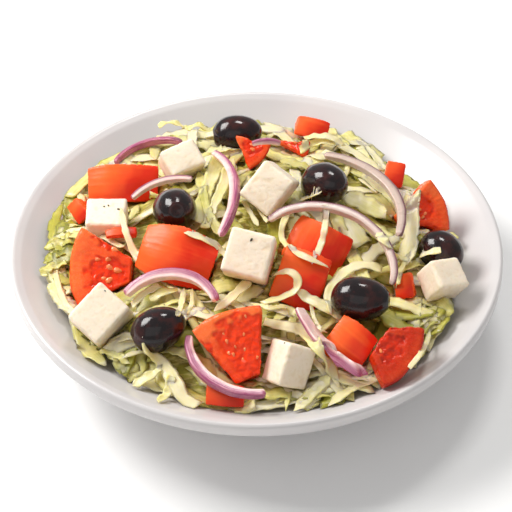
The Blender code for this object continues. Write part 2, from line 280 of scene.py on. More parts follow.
def as_piece(obj, material, slot, *nodes):
    """Gives the object its material and lets it stand for its CAD nodes."""
    obj.data.materials.clear()
    obj.data.materials.append(material)
    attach(obj, "root")
    if nodes:
        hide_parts(*nodes)


def add_skin(points, faces, rings, flip=False):
    """Adds a closed skin over rings of points, where a ring of one point is a tip."""
    numbers = []
    for ring in rings:
        numbers.append(tuple(range(len(points), len(points) + len(ring))))
        points.extend(ring)
    sides = max(len(ring) for ring in rings)
    for here, there in zip(numbers, numbers[1:]):
        for step in range(sides):
            corners = [(here, step), (there, step), (there, step + 1), (here, step + 1)]
            face = list(dict.fromkeys(ring[at % len(ring)] for ring, at in corners))
            faces.append(face[:1] + face[:0:-1] if flip else face)
    for ring, backward in ((numbers[0], flip), (numbers[-1], not flip)):
        if len(ring) > 1:
            faces.append(ring[::-1] if backward else ring)


def object_over(name, rings, flip=False):
    """A smooth object with a closed skin over its rings."""
    points, faces = [], []
    add_skin(points, faces, rings, flip)
    return object_from(name, points, faces)


def edit(obj, change):
    """Works the change on the object's mesh."""
    bm = bmesh.new()
    bm.from_mesh(obj.data)
    change(bm)
    bm.to_mesh(obj.data)
    bm.free()
    obj.data.update()


def face_outward(bm):
    bmesh.ops.recalc_face_normals(bm, faces=bm.faces)


def ease_edges(bm):
    """Rounds the mesh's edges a little."""
    for _ in range(EASE_TIMES):
        bmesh.ops.smooth_vert(
            bm, verts=bm.verts, factor=0.5, use_axis_x=True, use_axis_y=True, use_axis_z=True
        )


def make_each(nodes, make, *given):
    """Makes a piece for each of the nodes in turn."""
    for index, node in enumerate(nodes):
        make(node, index, *given)
    return {"FINISHED"}


def node_shape(node):
    """The CAD node as a bmesh, with the corners that its file splits joined again."""
    bm = bmesh.new()
    bm.from_mesh(frame["nodes"][node].data)
    bmesh.ops.remove_doubles(bm, verts=bm.verts, dist=1e-5)
    bm.faces.index_update()
    bm.normal_update()
    return bm


def remeshed(name, bm, voxel):
    """An object with a fine, even mesh of the same solid."""
    rough = bpy.data.meshes.new(name + "_rough")
    bm.to_mesh(rough)
    obj = link(name, rough)
    modifier = obj.modifiers.new("Remesh", "REMESH")
    modifier.mode = "VOXEL"
    modifier.voxel_size = voxel
    graph = bpy.context.evaluated_depsgraph_get()
    mesh = bpy.data.meshes.new_from_object(obj.evaluated_get(graph))
    obj.modifiers.clear()
    obj.data = mesh
    bpy.data.meshes.remove(rough)
    mesh.name = name
    mesh.shade_smooth()
    return obj


def smooth_regions(bm, degrees):
    """The bmesh's faces in groups, parted by the edges that are sharper than the angle."""
    limit = math.radians(degrees)
    left = set(bm.faces)
    groups = []
    while left:
        group = [min(left, key=lambda face: face.index)]
        left.discard(group[0])
        for face in group:
            for edge in face.edges:
                if edge.calc_face_angle() > limit:
                    continue
                for other in edge.link_faces:
                    if other in left:
                        left.discard(other)
                        group.append(other)
        groups.append(group)
    return groups


def region_normal(group):
    """Summed normal of a group of faces: its length over the area is 1 where they lie flat."""
    return sum((face.normal * face.calc_area() for face in group), Vector())


# Materials


class Channel:
    """A number or a colour on its way through a material's nodes."""

    def __init__(self, surface, socket):
        self.surface = surface
        self.socket = socket

    def with_other(self, operation, other):
        return self.surface.add("ShaderNodeMath", 0, {0: self, 1: other}, operation=operation)

    def __add__(self, other):
        return self.with_other("ADD", other)

    def __sub__(self, other):
        return self.with_other("SUBTRACT", other)

    def __mul__(self, other):
        return self.with_other("MULTIPLY", other)

    def band(self, low, high, to_low=0.0, to_high=1.0):
        """The range from low to high, turned into another one."""
        names = ("Value", "From Min", "From Max", "To Min", "To Max")
        inputs = dict(zip(names, (self, low, high, to_low, to_high)))
        return self.surface.add("ShaderNodeMapRange", "Result", inputs)

    def mix(self, first, second):
        """The first colour where this is 0, and the second where it is 1."""
        inputs = {0: self, 6: first, 7: second}
        return self.surface.add("ShaderNodeMix", 2, inputs, data_type="RGBA")


class Surface:
    """One procedural material: its Principled shader, and the nodes that feed it."""

    def __init__(self, name, coat=(), soft=(), **sockets):
        self.material = bpy.data.materials.new(name)
        self.material.use_nodes = True
        self.tree = self.material.node_tree
        self.shader = self.tree.nodes["Principled BSDF"]
        self.place = self.add("ShaderNodeTexCoord", "Object")
        sockets.update(zip(("Coat_Weight", "Coat_Roughness"), coat))
        sockets.update(zip(("Subsurface_Weight", "Subsurface_Radius", "Subsurface_Scale"), soft))
        for socket, value in sockets.items():
            self.feed(self.shader.inputs[socket.replace("_", " ")], value)

    def feed(self, socket, value):
        if isinstance(value, Channel):
            self.tree.links.new(value.socket, socket)
        else:
            socket.default_value = (*value, 1.0) if socket.type == "RGBA" else value

    def add(self, kind, output, inputs=(), **settings):
        """Adds a node, and gives one of its outputs."""
        node = self.tree.nodes.new(kind)
        for key, value in settings.items():
            setattr(node, key, value)
        for key, value in dict(inputs).items():
            self.feed(node.inputs[key], value)
        return Channel(self, node.outputs[output])

    def attributes(self, *names):
        return [self.add("ShaderNodeAttribute", "Fac", attribute_name=name) for name in names]

    def noise(self, lumps, detail=3.0, place=None):
        """Noise from 0 to 1, with lumps of about that size in metres."""
        inputs = {"Vector": place or self.place, "Scale": 1.0 / lumps}
        inputs.update({"Detail": detail, "Roughness": 0.55})
        return self.add("ShaderNodeTexNoise", "Fac", inputs)

    def cells(self, size):
        """Distance from the middle of scattered cells of about that size in metres."""
        inputs = {"Vector": self.place, "Scale": 1.0 / size}
        return self.add("ShaderNodeTexVoronoi", "Distance", inputs)

    def stretched(self, scale):
        """The place, scaled differently along each axis."""
        return self.add("ShaderNodeMapping", "Vector", {"Vector": self.place, "Scale": scale})

    def grain_of(self, along, across, lumps):
        """Noise that is drawn out along a strip."""
        lines = self.add("ShaderNodeCombineXYZ", "Vector", {"X": along, "Y": across})
        return self.noise(lumps, 3.0, lines)

    def finish(self, color, roughness, height=None, depth=0.0):
        """Feeds the shader with its colour, roughness and bumps, and gives the material."""
        self.feed(self.shader.inputs["Base Color"], color)
        self.feed(self.shader.inputs["Roughness"], roughness)
        if height:
            inputs = {"Height": height, "Distance": depth, "Strength": 1.0}
            bump = self.add("ShaderNodeBump", "Normal", inputs)
            self.feed(self.shader.inputs["Normal"], bump)
        return self.material


# Bowl

FOOT_CHAMFER, FOOT_BEVEL, FOOT_FLARE = 2.0 * MM, 1.2 * MM, 1.6 * MM
LIP_UNDERCUT, LIP_LEAN, LIP_BEVEL = 4.2 * MM, 0.8 * MM, 1.8 * MM
OUTSIDE_ROUNDING, HOLLOW_ROUNDING, HOLLOW_INSET = 0.9 * MM, 1.1 * MM, 1.6 * MM


def hollow_height(radius, wall=0.0):
    """Height of the bowl's hollow at a radius, or of the underside one wall below it."""
    settings = bpy.context.scene.salad_bowl
    sphere = settings.inner_sphere
    middle = BOWL_HEIGHT - settings.depth + sphere
    return middle - math.sqrt((sphere + wall) ** 2 - radius**2)


def eased(points, rounding):
    """The open line with each of its inner corners rounded off."""
    line = [points[0]]
    for before, corner, after in zip(points, points[1:], points[2:]):
        corner = Vector(corner)
        back = Vector(before) - corner
        ahead = Vector(after) - corner
        reach = min(rounding, back.length * 0.45, ahead.length * 0.45)
        start = corner + back.normalized() * reach
        end = corner + ahead.normalized() * reach
        for share in (step / EASE_STEPS for step in range(EASE_STEPS + 1)):
            bend = (1 - share) ** 2 * start + 2 * share * (1 - share) * corner + share**2 * end
            line.append(tuple(bend))
    line.append(points[-1])
    return line


def bowl_profile(settings):
    """Half section of the bowl, from the middle of the underside round to the hollow's."""
    foot_inside = settings.foot_radius - settings.foot_width
    foot_top = settings.foot_radius + FOOT_FLARE
    lip_bottom = BOWL_HEIGHT - settings.lip_height
    line = [
        (0.0, settings.foot_recess),
        (foot_inside - FOOT_CHAMFER, settings.foot_recess),
        (foot_inside, 0.0),
        (settings.foot_radius, 0.0),
        (settings.foot_radius + FOOT_BEVEL, FOOT_BEVEL),
    ]
    for step in range(WALL_STEPS + 1):
        radius = foot_top + (BOWL_RADIUS - LIP_UNDERCUT - foot_top) * step / WALL_STEPS
        line.append((radius, hollow_height(radius, settings.wall)))
    line += [(BOWL_RADIUS - LIP_LEAN, lip_bottom), (BOWL_RADIUS, lip_bottom + LIP_BEVEL)]
    points = eased(line, OUTSIDE_ROUNDING)
    rounding = settings.lip_rounding
    for step in range(LIP_STEPS + 1):
        out, up, _ = turned(rounding, math.radians(90.0 * step / LIP_STEPS))
        points.append((BOWL_RADIUS - rounding + out, BOWL_HEIGHT - rounding + up))
    lip_inside = BOWL_RADIUS - settings.lip_top
    hollow = [points[-1], (lip_inside, BOWL_HEIGHT - LIP_LEAN)]
    for step in range(HOLLOW_STEPS + 1):
        radius = (lip_inside - HOLLOW_INSET) * (1.0 - step / HOLLOW_STEPS)
        hollow.append((radius, hollow_height(radius)))
    return points + eased(hollow, HOLLOW_ROUNDING)[1:]


def glaze_surface(settings):
    surface = Surface("White glaze", coat=(0.12, 0.12))
    glaze = surface.noise(0.035, 1.0).band(0.35, 0.7).mix(settings.glaze, settings.glaze_shade)
    wear = surface.noise(0.012, 2.0).band(0.3, 0.8, 0.28, 0.36)
    return surface.finish(glaze, wear, surface.noise(0.03, 0.0), 0.00015)


class SALAD_OT_bowl(bpy.types.Operator):
    """Turns the glazed bowl with its upright lip and its foot ring"""

    bl_idname = "salad.bowl"
    bl_label = "Bowl"

    def execute(self, context):
        settings = context.scene.salad_bowl
        sides = settings.segments
        rings = []
        for radius, height in bowl_profile(settings):
            turns = range(sides if radius > 0.0 else 1)
            rings.append([turned(radius, math.tau * step / sides, height) for step in turns])
        bowl = object_over("salad_bowl", rings, flip=True)
        as_piece(bowl, glaze_surface(settings), "bowl_glaze", "bowl")
        return {"FINISHED"}


# Olives


def olive_surface(settings):
    surface = Surface("Olive skin", coat=(0.45, 0.04), IOR=1.28)
    skin = surface.noise(0.006, 4.0).band(0.45, 0.75).mix(settings.skin, settings.skin_brown)
    dull = surface.noise(0.0016, 4.0).band(0.3, 0.75, 0.10, 0.26)
    pores = surface.cells(0.0009) * 0.12 + surface.noise(0.0035, 2.0)
    return surface.finish(skin, dull, pores, 0.00022)


def olive_frame(node):
    """Middle, long axis towards the narrow end, half length, half width and egg shape."""
    bm = node_shape(node)
    points = np.array([vert.co for vert in bm.verts])
    bm.free()
    spread = points - points.mean(0)
    axis = np.linalg.eigh(spread.T @ spread)[1][:, 2]
    along = spread @ axis
    if np.mean(np.abs(along[along > 0])) < np.mean(np.abs(along[along < 0])):
        axis = -axis
        along = -along
    middle = points.mean(0) + axis * (along.max() + along.min()) / 2
    half_length = (along.max() - along.min()) / 2
    height = (points - middle) @ axis / half_length
    reach = np.linalg.norm(points - middle - np.outer((points - middle) @ axis, axis), axis=1)
    roundness = np.sqrt(np.clip(1.0 - height**2, 0.0, 1.0))
    fit = np.linalg.lstsq(np.stack([roundness, roundness * height], 1), reach, rcond=None)[0]
    return Vector(middle), Vector(axis), half_length, fit[0], fit[1] / fit[0]


def make_olive(node, index, material, settings):
    middle, axis, half_length, half_width, egg = olive_frame(node)
    turn = axis.to_track_quat("Z", "Y")
    rings = []
    for ring in range(OLIVE_RINGS + 1):
        angle = math.pi * ring / OLIVE_RINGS
        height = math.cos(angle)
        row = []
        for side in range(OLIVE_SIDES if 0 < ring < OLIVE_RINGS else 1):
            flat = Vector(turned(1.0, math.tau * side / OLIVE_SIDES))
            radius = half_width * math.sin(angle) ** 0.96 * (1.0 + egg * height)
            wobble = Vector((flat.x, flat.y, height * 1.3)) * 1.4 + Vector((index, 0, 0))
            folds = Vector((flat.x * 4.0, flat.y * 4.0, height * 1.1 + index))
            radius *= 1.0 + 0.022 * noise.noise(wobble) + 0.008 * noise.noise(folds)
            point = flat * radius + UP * (half_length * height)
            away = math.hypot(point.x, point.y) / settings.dimple_radius
            if height < 0.0 and away < 2.2:
                point.z += settings.dimple_depth * math.exp(-((away * 1.1) ** 2))
                point.z -= 0.25 * settings.dimple_depth * math.exp(-((away - 1.5) ** 2) * 6.0)
            row.append(middle + turn @ point)
        rings.append(row)
    olive = object_over(f"black_olive_{index + 1:02d}", rings)
    as_piece(olive, material, "olive_skin", node)


class SALAD_OT_olives(bpy.types.Operator):
    """Shapes each black olive, smooth and slightly uneven, with its stem's dimple"""

    bl_idname = "salad.olives"
    bl_label = "Olives"

    def execute(self, context):
        settings = context.scene.salad_olives
        return make_each(OLIVES, make_olive, olive_surface(settings), settings)


# Feta


def feta_surface(settings):
    surface = Surface("Feta", soft=(0.35, (1.0, 0.75, 0.45), 0.003))
    (pits,) = surface.attributes("pit")
    grain = surface.noise(0.0011, 4.0)
    # Painted shade: the crumbly pits are coloured darker and yellower, on top of a random mottle.
    mottle = surface.noise(0.005, 5.0).band(0.4, 0.8, 0.0, 0.3) + pits
    cheese = mottle.mix(settings.cheese, settings.pit)
    return surface.finish(cheese, grain.band(0.3, 0.7, 0.42, 0.62), grain, 0.00010)


def make_feta(node, index, material, settings):
    bm = node_shape(node)
    groups = smooth_regions(bm, 20.0)
    groups.sort(key=lambda group: -region_normal(group).length)
    planes = []
    for group in groups[:6]:
        inward = -np.array(region_normal(group).normalized())
        planes.append((np.array(group[0].verts[0].co), inward))
    cube = remeshed(f"feta_cube_{index + 1:02d}", bm, settings.voxel)
    bm.free()
    points = points_of(cube)
    depths = np.stack([(points - spot) @ inward for spot, inward in planes])
    depths.sort(axis=0)
    edge = np.exp(-np.clip(depths[1], 0, None) / (1.3 * MM))
    swell = noise_at(points, 7 * MM, index)
    lumps = noise_at(points, 2.6 * MM, index + 20)
    crumbs = noise_at(points, 1.1 * MM, index + 40)
    tears = np.clip(noise_at(points, 3.4 * MM, index + 60) - 0.28, 0, None)
    pits = np.clip(crumbs - 0.12, 0, None) + 1.6 * tears
    push = 0.22 * MM * swell + 0.08 * MM * lumps - settings.crumb * 1.6 * pits
    push -= edge * (0.35 + 0.9 * np.clip(lumps + 0.2, 0, None)) * 0.7 * MM
    push_out(cube, push)
    # The pit mask is kept for the painted shade in the pits.
    store(cube, pit=np.clip(pits * 1.3, 0, 0.8))
    as_piece(cube, material, "feta_cheese", node)


class SALAD_OT_feta(bpy.types.Operator):
    """Cuts the crumbly feta cubes with worn edges"""

    bl_idname = "salad.feta"
    bl_label = "Feta"

    def execute(self, context):
        settings = context.scene.salad_feta
        return make_each(FETAS, make_feta, feta_surface(settings), settings)


# Tomatoes


class Wedge:
    """How a tomato wedge was cut: its core's line, its radius and its flat cuts."""

    def __init__(self, bm):
        groups = smooth_regions(bm, 25.0)
        sums = [region_normal(group) for group in groups]
        areas = [sum(face.calc_area() for face in group) for group in groups]
        normals = [total.normalized() for total in sums]
        spots = [group[0].verts[0].co for group in groups]
        skin = min(range(len(groups)), key=lambda at: sums[at].length / areas[at])
        flat = [at for at in range(len(groups)) if at != skin]
        across = [(a, b) for a in flat for b in flat if a < b]
        pair = min(across, key=lambda ends: normals[ends[0]].dot(normals[ends[1]]))
        self.axis = normals[pair[0]]
        if self.axis.z < 0:
            self.axis = -self.axis
        self.out = (sums[skin] - self.axis * sums[skin].dot(self.axis)).normalized()
        self.side = self.axis.cross(self.out)
        lengthwise = [at for at in flat if at not in pair]
        lengthwise.sort(key=lambda at: abs(normals[at].dot(self.out) + 1.0))
        first, second = lengthwise[-2:]
        rows = np.array([normals[first], normals[second], self.axis])
        reaches = [normals[at].dot(spots[at]) for at in (first, second)]
        reaches.append(self.axis.dot(spots[first]))
        self.core = Vector(np.linalg.solve(rows, np.array(reaches)))
        self.fit_sphere(groups[skin])
        self.kind_of = {}
        for at, group in enumerate(groups):
            kind = "skin" if at == skin else "cross" if at in pair else "flat"
            self.kind_of.update({face.index: kind for face in group})

    def fit_sphere(self, faces):
        """Puts the middle on the core's line, and finds the skin's radius."""
        spots = {vert for face in faces for vert in face.verts}
        offsets = np.array([vert.co - self.core for vert in sorted(spots, key=lambda v: v.index)])
        along = offsets @ np.array(self.axis)
        terms = np.stack([2.0 * along, np.ones(len(along))], 1)
        fit = np.linalg.lstsq(terms, (offsets**2).sum(1), rcond=None)[0]
        self.middle = self.core + self.axis * fit[0]
        reach = np.linalg.norm(offsets - np.array(self.axis) * fit[0], axis=1)
        self.radius = float(reach.max())

    def polar(self, points):
        """Distance from the core's line, angle about it and height along it, for each point."""
        offsets = points - np.array(self.middle)
        height, out, side = (offsets @ np.array(way) for way in (self.axis, self.out, self.side))
        return np.hypot(out, side), np.arctan2(side, out), height


def tomato_surface(settings):
    surface = Surface("Tomato", (0.06, 0.1), (0.22, (1.0, 0.22, 0.06), 0.003), IOR=1.36)
    names = ("skin", "pale", "gel", "veins", "warm", "ripe")
    skin, pale, gel, veins, warm, ripe = surface.attributes(*names)
    broad = surface.noise(0.014, 2.0)
    fibre = surface.noise(0.0011, 4.0)
    streaks = veins * 0.35
    pale = pale + surface.noise(0.006, 4.0).band(0.4, 0.75, -0.10, 0.28)
    # The cut faces are also painted paler on the side towards the key light, as painted light.
    pale = pale + streaks + warm.band(0.0, 1.0, -0.15, 0.40)
    body = gel.mix(pale.band(0.0, 1.0).mix(settings.flesh, settings.wall), settings.gel)
    # The skin runs from red to its warmer colour with random tone, streaks and painted light on the
    # side towards the key light.
    warmth = broad.band(0.38, 0.66, -0.25, 0.25) + streaks + warm
    blush = warmth.band(0.0, 1.0).mix(settings.skin, settings.skin_warm)
    # Painted shade: wedges that lie in shadow are mixed towards the ripest red, with a little
    # random tone on top.
    ripe = ripe + broad.band(0.35, 0.65, -0.12, 0.12)
    wet = fibre.band(0.3, 0.75, 0.18, 0.36) - gel * 0.20 + skin * 0.14
    pulp = surface.noise(0.0026, 1.0) * gel
    grain = fibre * skin.band(0.0, 1.0, 1.0, 0.25) + veins * 0.5 + pulp * 4.0
    return surface.finish(ripe.mix(skin.mix(body, blush), settings.deep), wet, grain, 0.0002)


def seed_surface(settings):
    surface = Surface("Tomato seed", (0.8, 0.03), (0.3, (1.0, 0.5, 0.2), 0.001))
    fuzz = surface.noise(0.0006)
    seed = fuzz.band(0.3, 0.7).mix(settings.seed, settings.wall)
    return surface.finish(seed, fuzz.band(0.3, 0.7, 0.15, 0.3), fuzz, 0.0001)


CHAMBER_STEP = math.radians(52.0)
ROUNDED_FROM, ROUNDED_TO = 0.7 * MM, 1.1 * MM
SEED_GAP, SEED_TRIES = 1.9 * MM, 400
# How much painted shade darkens a wedge, how streaked it is, the turn of its seed chambers, the
# number and size of its seeds, and the reach and depth of its chambers.
WedgeLook = namedtuple(
    "WedgeLook", "ripe streaks phase seeds seed_size reach depth", defaults=(0, 1.0, 0.8, 1.0)
)
WEDGE_LOOKS = [
    WedgeLook(*row)
    for row in (
        (0.0, 1.0, 0.5), (0.1, 1.0, 0.0), (0.0, 1.0, 0.35, 7, 1.45), (0.05, 1.8, 0.2),
        (0.0, 1.0, 0.7, 10, 0.8, 0.97, 0.8), (0.5, 1.0, 0.1), (0.0, 1.0, 0.6),
        (0.1, 1.0, 0.25, 2), (0.2, 1.0, 0.4, 3), (0.25, 1.0, 0.15), (0.1, 1.0, 0.3, 4),
        (0.2, 1.0, 0.5), (0.15, 1.4, 0.0), (0.0, 1.4, 0.2), (0.0, 2.2, 0.1),
        (0.75, 1.0, 0.55, 1), (0.3, 1.0, 0.3),
    )
]


def chambers(distance, angle, radius, look):
    """How deep in a seed chamber each place of a crosswise cut lies, from 0 to 1."""
    share = distance / radius
    turn = (angle / CHAMBER_STEP + look.phase) % 1.0 - 0.5
    rib = 0.055 / np.clip(share, 0.15, None)
    inside = 1.0 - smooth_step(np.abs(turn), 0.47 - rib, 0.53 - rib)
    reach = look.reach - 0.10 * (2.0 * turn) ** 2
    inside *= smooth_step(share, 0.26, 0.34)
    return inside * (1.0 - smooth_step(share, reach - 0.05, reach))


def make_tomato(node, index, material, settings, seeds):
    bm = node_shape(node)
    wedge = Wedge(bm)
    tree = BVHTree.FromBMesh(bm)
    piece = remeshed(f"tomato_wedge_{index + 1:02d}", bm, settings.voxel)
    bm.free()
    edit(piece, ease_edges)
    points = points_of(piece)
    kinds = [wedge.kind_of[tree.find_nearest(Vector(point))[2]] for point in points]
    skin, cross, flat = (
        np.array([kind == name for kind in kinds], float) for name in ("skin", "cross", "flat")
    )
    offsets = points - np.array(wedge.middle)
    reach = np.linalg.norm(offsets, axis=1)
    short = wedge.radius - reach
    rounding = skin * short * (1.0 - smooth_step(short, ROUNDED_FROM, ROUNDED_TO))
    points = points + offsets * (rounding / reach)[:, None]
    move_points(piece, points)
    distance, angle, height = wedge.polar(points)
    look = WEDGE_LOOKS[index]
    share = distance / wedge.radius
    uneven = noise_at(points, 3.5 * MM, index + 90)
    gel = chambers(distance * (1.0 + 0.13 * uneven), angle + 0.10 * uneven, wedge.radius, look)
    side_gel = smooth_step(share, 0.34, 0.42) * (1.0 - smooth_step(share, 0.68, 0.76))
    gel = (gel * cross + 0.5 * side_gel * flat) * look.depth
    lumps = noise_at(points, 2.2 * MM, index)
    swell = noise_at(points, 9.0 * MM, index + 30)
    fine = noise_at(points, 0.9 * MM, index + 50)
    grooves = np.column_stack([angle * wedge.radius, height * 0.12, np.zeros(len(angle))])
    grooves = noise_at(grooves, 1.7 * MM, index + 70)
    push = 0.65 * MM * swell - settings.gel_depth * gel * (0.8 - 0.6 * lumps)
    push += (1.0 - skin) * (0.10 * MM * fine + 0.16 * MM * lumps) + 0.04 * MM * skin * grooves
    push_out(piece, push)
    # Painted light: the side of each wedge that faces up and to the left, towards the key light, is
    # marked to be coloured paler and warmer, and the far side stays redder as painted shade.
    lean = (points - points.mean(0)) @ np.array([-0.6, 0.5, 0.3])
    rim = smooth_step(share, 0.80, 0.90) * (1.0 - skin)
    core = smooth_step(-share, -0.30, -0.20)
    rays = np.sin(angle * 70.0 + 4.0 * swell) * 0.5 + 0.5
    veins = rays * cross * smooth_step(share, 0.35, 0.6) * 0.5 * (1.0 - np.clip(gel, 0, 1))
    veins += look.streaks * (skin + flat) * np.clip(grooves * 1.3, 0, 1) * 0.5
    store(
        piece,
        skin=skin,
        gel=np.clip(gel, 0, 1),
        warm=np.clip(0.45 + 1.1 * lean / np.abs(lean).max(), 0, 1),
        ripe=look.ripe,
        pale=np.clip(0.10 + 0.45 * rim + 0.4 * core - 0.4 * gel, 0, 1),
        veins=veins,
    )
    as_piece(piece, material, "tomato_flesh", node)
    place_seeds(piece, wedge, index, look, seeds)


def place_seeds(piece, wedge, index, look, seeds):
    """Notes where flat seeds lie in the chambers of the wedge's upward cut."""
    draw = random.Random(70 + index)
    mesh = piece.data
    tree = BVHTree.FromPolygons([v.co for v in mesh.vertices], [f.vertices for f in mesh.polygons])
    top = wedge.middle + wedge.axis * wedge.radius
    placed = []
    cluster = draw.uniform(-0.3, 0.3)
    for _ in range(SEED_TRIES):
        if len(placed) >= look.seeds:
            break
        share = draw.gauss(0.69, 0.15) * look.reach
        angle = draw.gauss(cluster, 0.25)
        lean = draw.uniform(-0.5, 0.5)
        tilt = draw.uniform(-0.3, 0.3)
        place = np.array([share * wedge.radius]), np.array([angle])
        if chambers(*place, wedge.radius, look)[0] < 0.75:
            continue
        outward = wedge.out * math.cos(angle) + wedge.side * math.sin(angle)
        spot, normal, _, _ = tree.ray_cast(top + outward * share * wedge.radius, -wedge.axis)
        if spot is None or normal.dot(wedge.axis) < 0.6:
            continue
        if any((spot - other).length < SEED_GAP for other in placed):
            continue
        placed.append(spot)
        inward = (-outward + wedge.axis.cross(outward) * lean + wedge.axis * tilt).normalized()
        seeds.append((spot, normal, inward, look.seed_size * draw.uniform(0.75, 1.2)))


def make_seeds(seeds, material):
    """Flat drop-shaped seeds, half sunk in their gel, as one joined piece."""
    points, faces = [], []
    for spot, normal, inward, scale in seeds:
        side = normal.cross(inward).normalized()
        ahead = side.cross(normal)
        rings = []
        for angle in (math.pi * ring / SEED_RINGS for ring in range(SEED_RINGS + 1)):
            forward = math.cos(angle)
            width = math.sin(angle) * (1.0 - 0.35 * forward)
            ring = []
            for step in range(SEED_SIDES if abs(forward) < 0.999 else 1):
                around = math.tau * step / SEED_SIDES
                offset = ahead * forward * 1.1 + side * width * 0.72 * math.cos(around)
                offset += normal * (0.45 * width * math.sin(around) + 0.02)
                ring.append(spot + offset * MM * scale)
            rings.append(ring)
        add_skin(points, faces, rings, flip=True)
    piece = object_from("tomato_seeds", points, faces)
    edit(piece, face_outward)
    as_piece(piece, material, "tomato_flesh")


class SALAD_OT_tomatoes(bpy.types.Operator):
    """Shapes the tomato wedges with their skin, walls, seed chambers and seeds"""

    bl_idname = "salad.tomatoes"
    bl_label = "Tomatoes"

    def execute(self, context):
        settings = context.scene.salad_tomatoes
        seeds = []
        make_each(TOMATOES, make_tomato, tomato_surface(settings), settings, seeds)
        make_seeds(seeds, seed_surface(settings))
        return {"FINISHED"}


# Onions


def lengths_along(line):
    """Length of the line up to each of its points."""
    steps = np.linalg.norm(np.diff(line, axis=0), axis=1)
    return np.concatenate([[0.0], np.cumsum(steps)])


def smooth_line(points, count_of_points):
    """The rows of numbers, resampled along a smooth curve through them."""
    points = np.asarray(points, float)
    padded = np.vstack([2 * points[0] - points[1], points, 2 * points[-1] - points[-2]])
    at = np.linspace(0, len(points) - 1, count_of_points)
    start = np.minimum(at.astype(int), len(points) - 2)
    share = (at - start)[:, None]
    a, b, c, d = (padded[start + step] for step in range(4))
    bend = (2 * a - 5 * b + 4 * c - d) * share**2 + (3 * b - a - 3 * c + d) * share**3
    return 0.5 * (2 * b + (c - a) * share + bend)


def onion_sections(bm):
    """Middle, outward and sideways half extents of each six-cornered section along the arc."""
    caps = [group for group in smooth_regions(bm, 1.0) if len(group) == 4]
    corners = [{vert for face in group for vert in face.verts} for group in caps]
    rings = [next(ring for ring in corners if len(ring) == 6)]
    seen = set(rings[0])
    while True:
        following = {edge.other_vert(vert) for vert in rings[-1] for edge in vert.link_edges} - seen
        if not following:
            break
        seen |= following
        rings.append(following)
    middles = [sum((vert.co for vert in ring), Vector()) / len(ring) for ring in rings]
    loops = []
    for at, ring in enumerate(rings):
        tangent = middles[min(at + 1, len(rings) - 1)] - middles[max(at - 1, 0)]
        first = (min(ring, key=lambda vert: vert.index).co - middles[at]).normalized()
        second = tangent.normalized().cross(first)

        def turn(vert, middle=middles[at], first=first, second=second):
            offset = vert.co - middle
            return math.atan2(offset.dot(second), offset.dot(first))

        loops.append([vert.co for vert in sorted(ring, key=turn)])
    spans = [[loop[(corner + 3) % 6] - loop[corner] for corner in range(6)] for loop in loops]
    centre = len(rings) // 2
    loop = loops[centre]
    bulges = []
    for corner in range(6):
        between = (loop[corner - 1] + loop[(corner + 1) % 6]) / 2
        bulges.append((loop[corner] - between).dot((loop[corner] - middles[centre]).normalized()))
    inner = {centre: bulges.index(min(bulges))}
    bow = middles[centre] - (middles[0] + middles[-1]) / 2
    if spans[centre][inner[centre]].dot(bow) < 0.0:
        inner[centre] = closest(spans[centre], bow)
    for at in [*range(centre - 1, -1, -1), *range(centre + 1, len(rings))]:
        near = at + 1 if at < centre else at - 1
        inner[at] = closest(spans[at], spans[near][inner[near]])
    rows = []
    for at, loop in enumerate(loops):
        outer = (inner[at] + 3) % 6
        out = spans[at][inner[at]] / 2
        side = (loop[outer - 1] - loop[(outer + 1) % 6]) / 2
        rows.append((*((loop[outer] + loop[inner[at]]) / 2), *out, *side))
    return np.array(rows)


def closest(spans, way):
    """Which of the spans points most nearly that way."""
    fits = [span.normalized().dot(way.normalized()) for span in spans]
    return fits.index(max(fits))


def onion_surface(settings):
    surface = Surface("Red onion", (0.2, 0.15), (0.5, (1.0, 0.6, 0.65), 0.002))
    along, around, outside, faded = surface.attributes("along", "around", "outside", "faded")
    veins = surface.grain_of(along * 0.06, around, 0.0006)
    cloud = surface.noise(0.006)
    blush = veins.band(0.45, 0.8, 0.0, 0.5) + cloud.band(0.45, 0.75, 0.0, 0.6)
    inside = faded.mix(blush.mix(settings.flesh, settings.blush), settings.faded)
    skin = veins.band(0.40, 0.85).mix(settings.outer, settings.blush)
    layer = outside.mix(inside, faded.mix(skin, settings.faded_outer))
    return surface.finish(layer, cloud.band(0.3, 0.7, 0.22, 0.38), veins, 0.0001)


# For each arc: where its purple side starts on its section, how faded it is, and how wide.
ONION_LOOKS = (
    (-1.4, 0.0, 1.0), (0.1, 0.45, 0.9), (-0.05, 0.0, 1.12), (-0.15, 0.0, 1.12),
    (0.35, 0.95, 1.12), (0.25, 0.8, 1.12), (-0.3, 0.0, 1.12), (-0.35, 0.0, 1.12),
    (-0.6, 0.1, 0.8),
)


def squared(value):
    """A cosine or sine, swollen towards the outline of a rounded square."""
    return math.copysign(abs(value) ** 0.45, value)


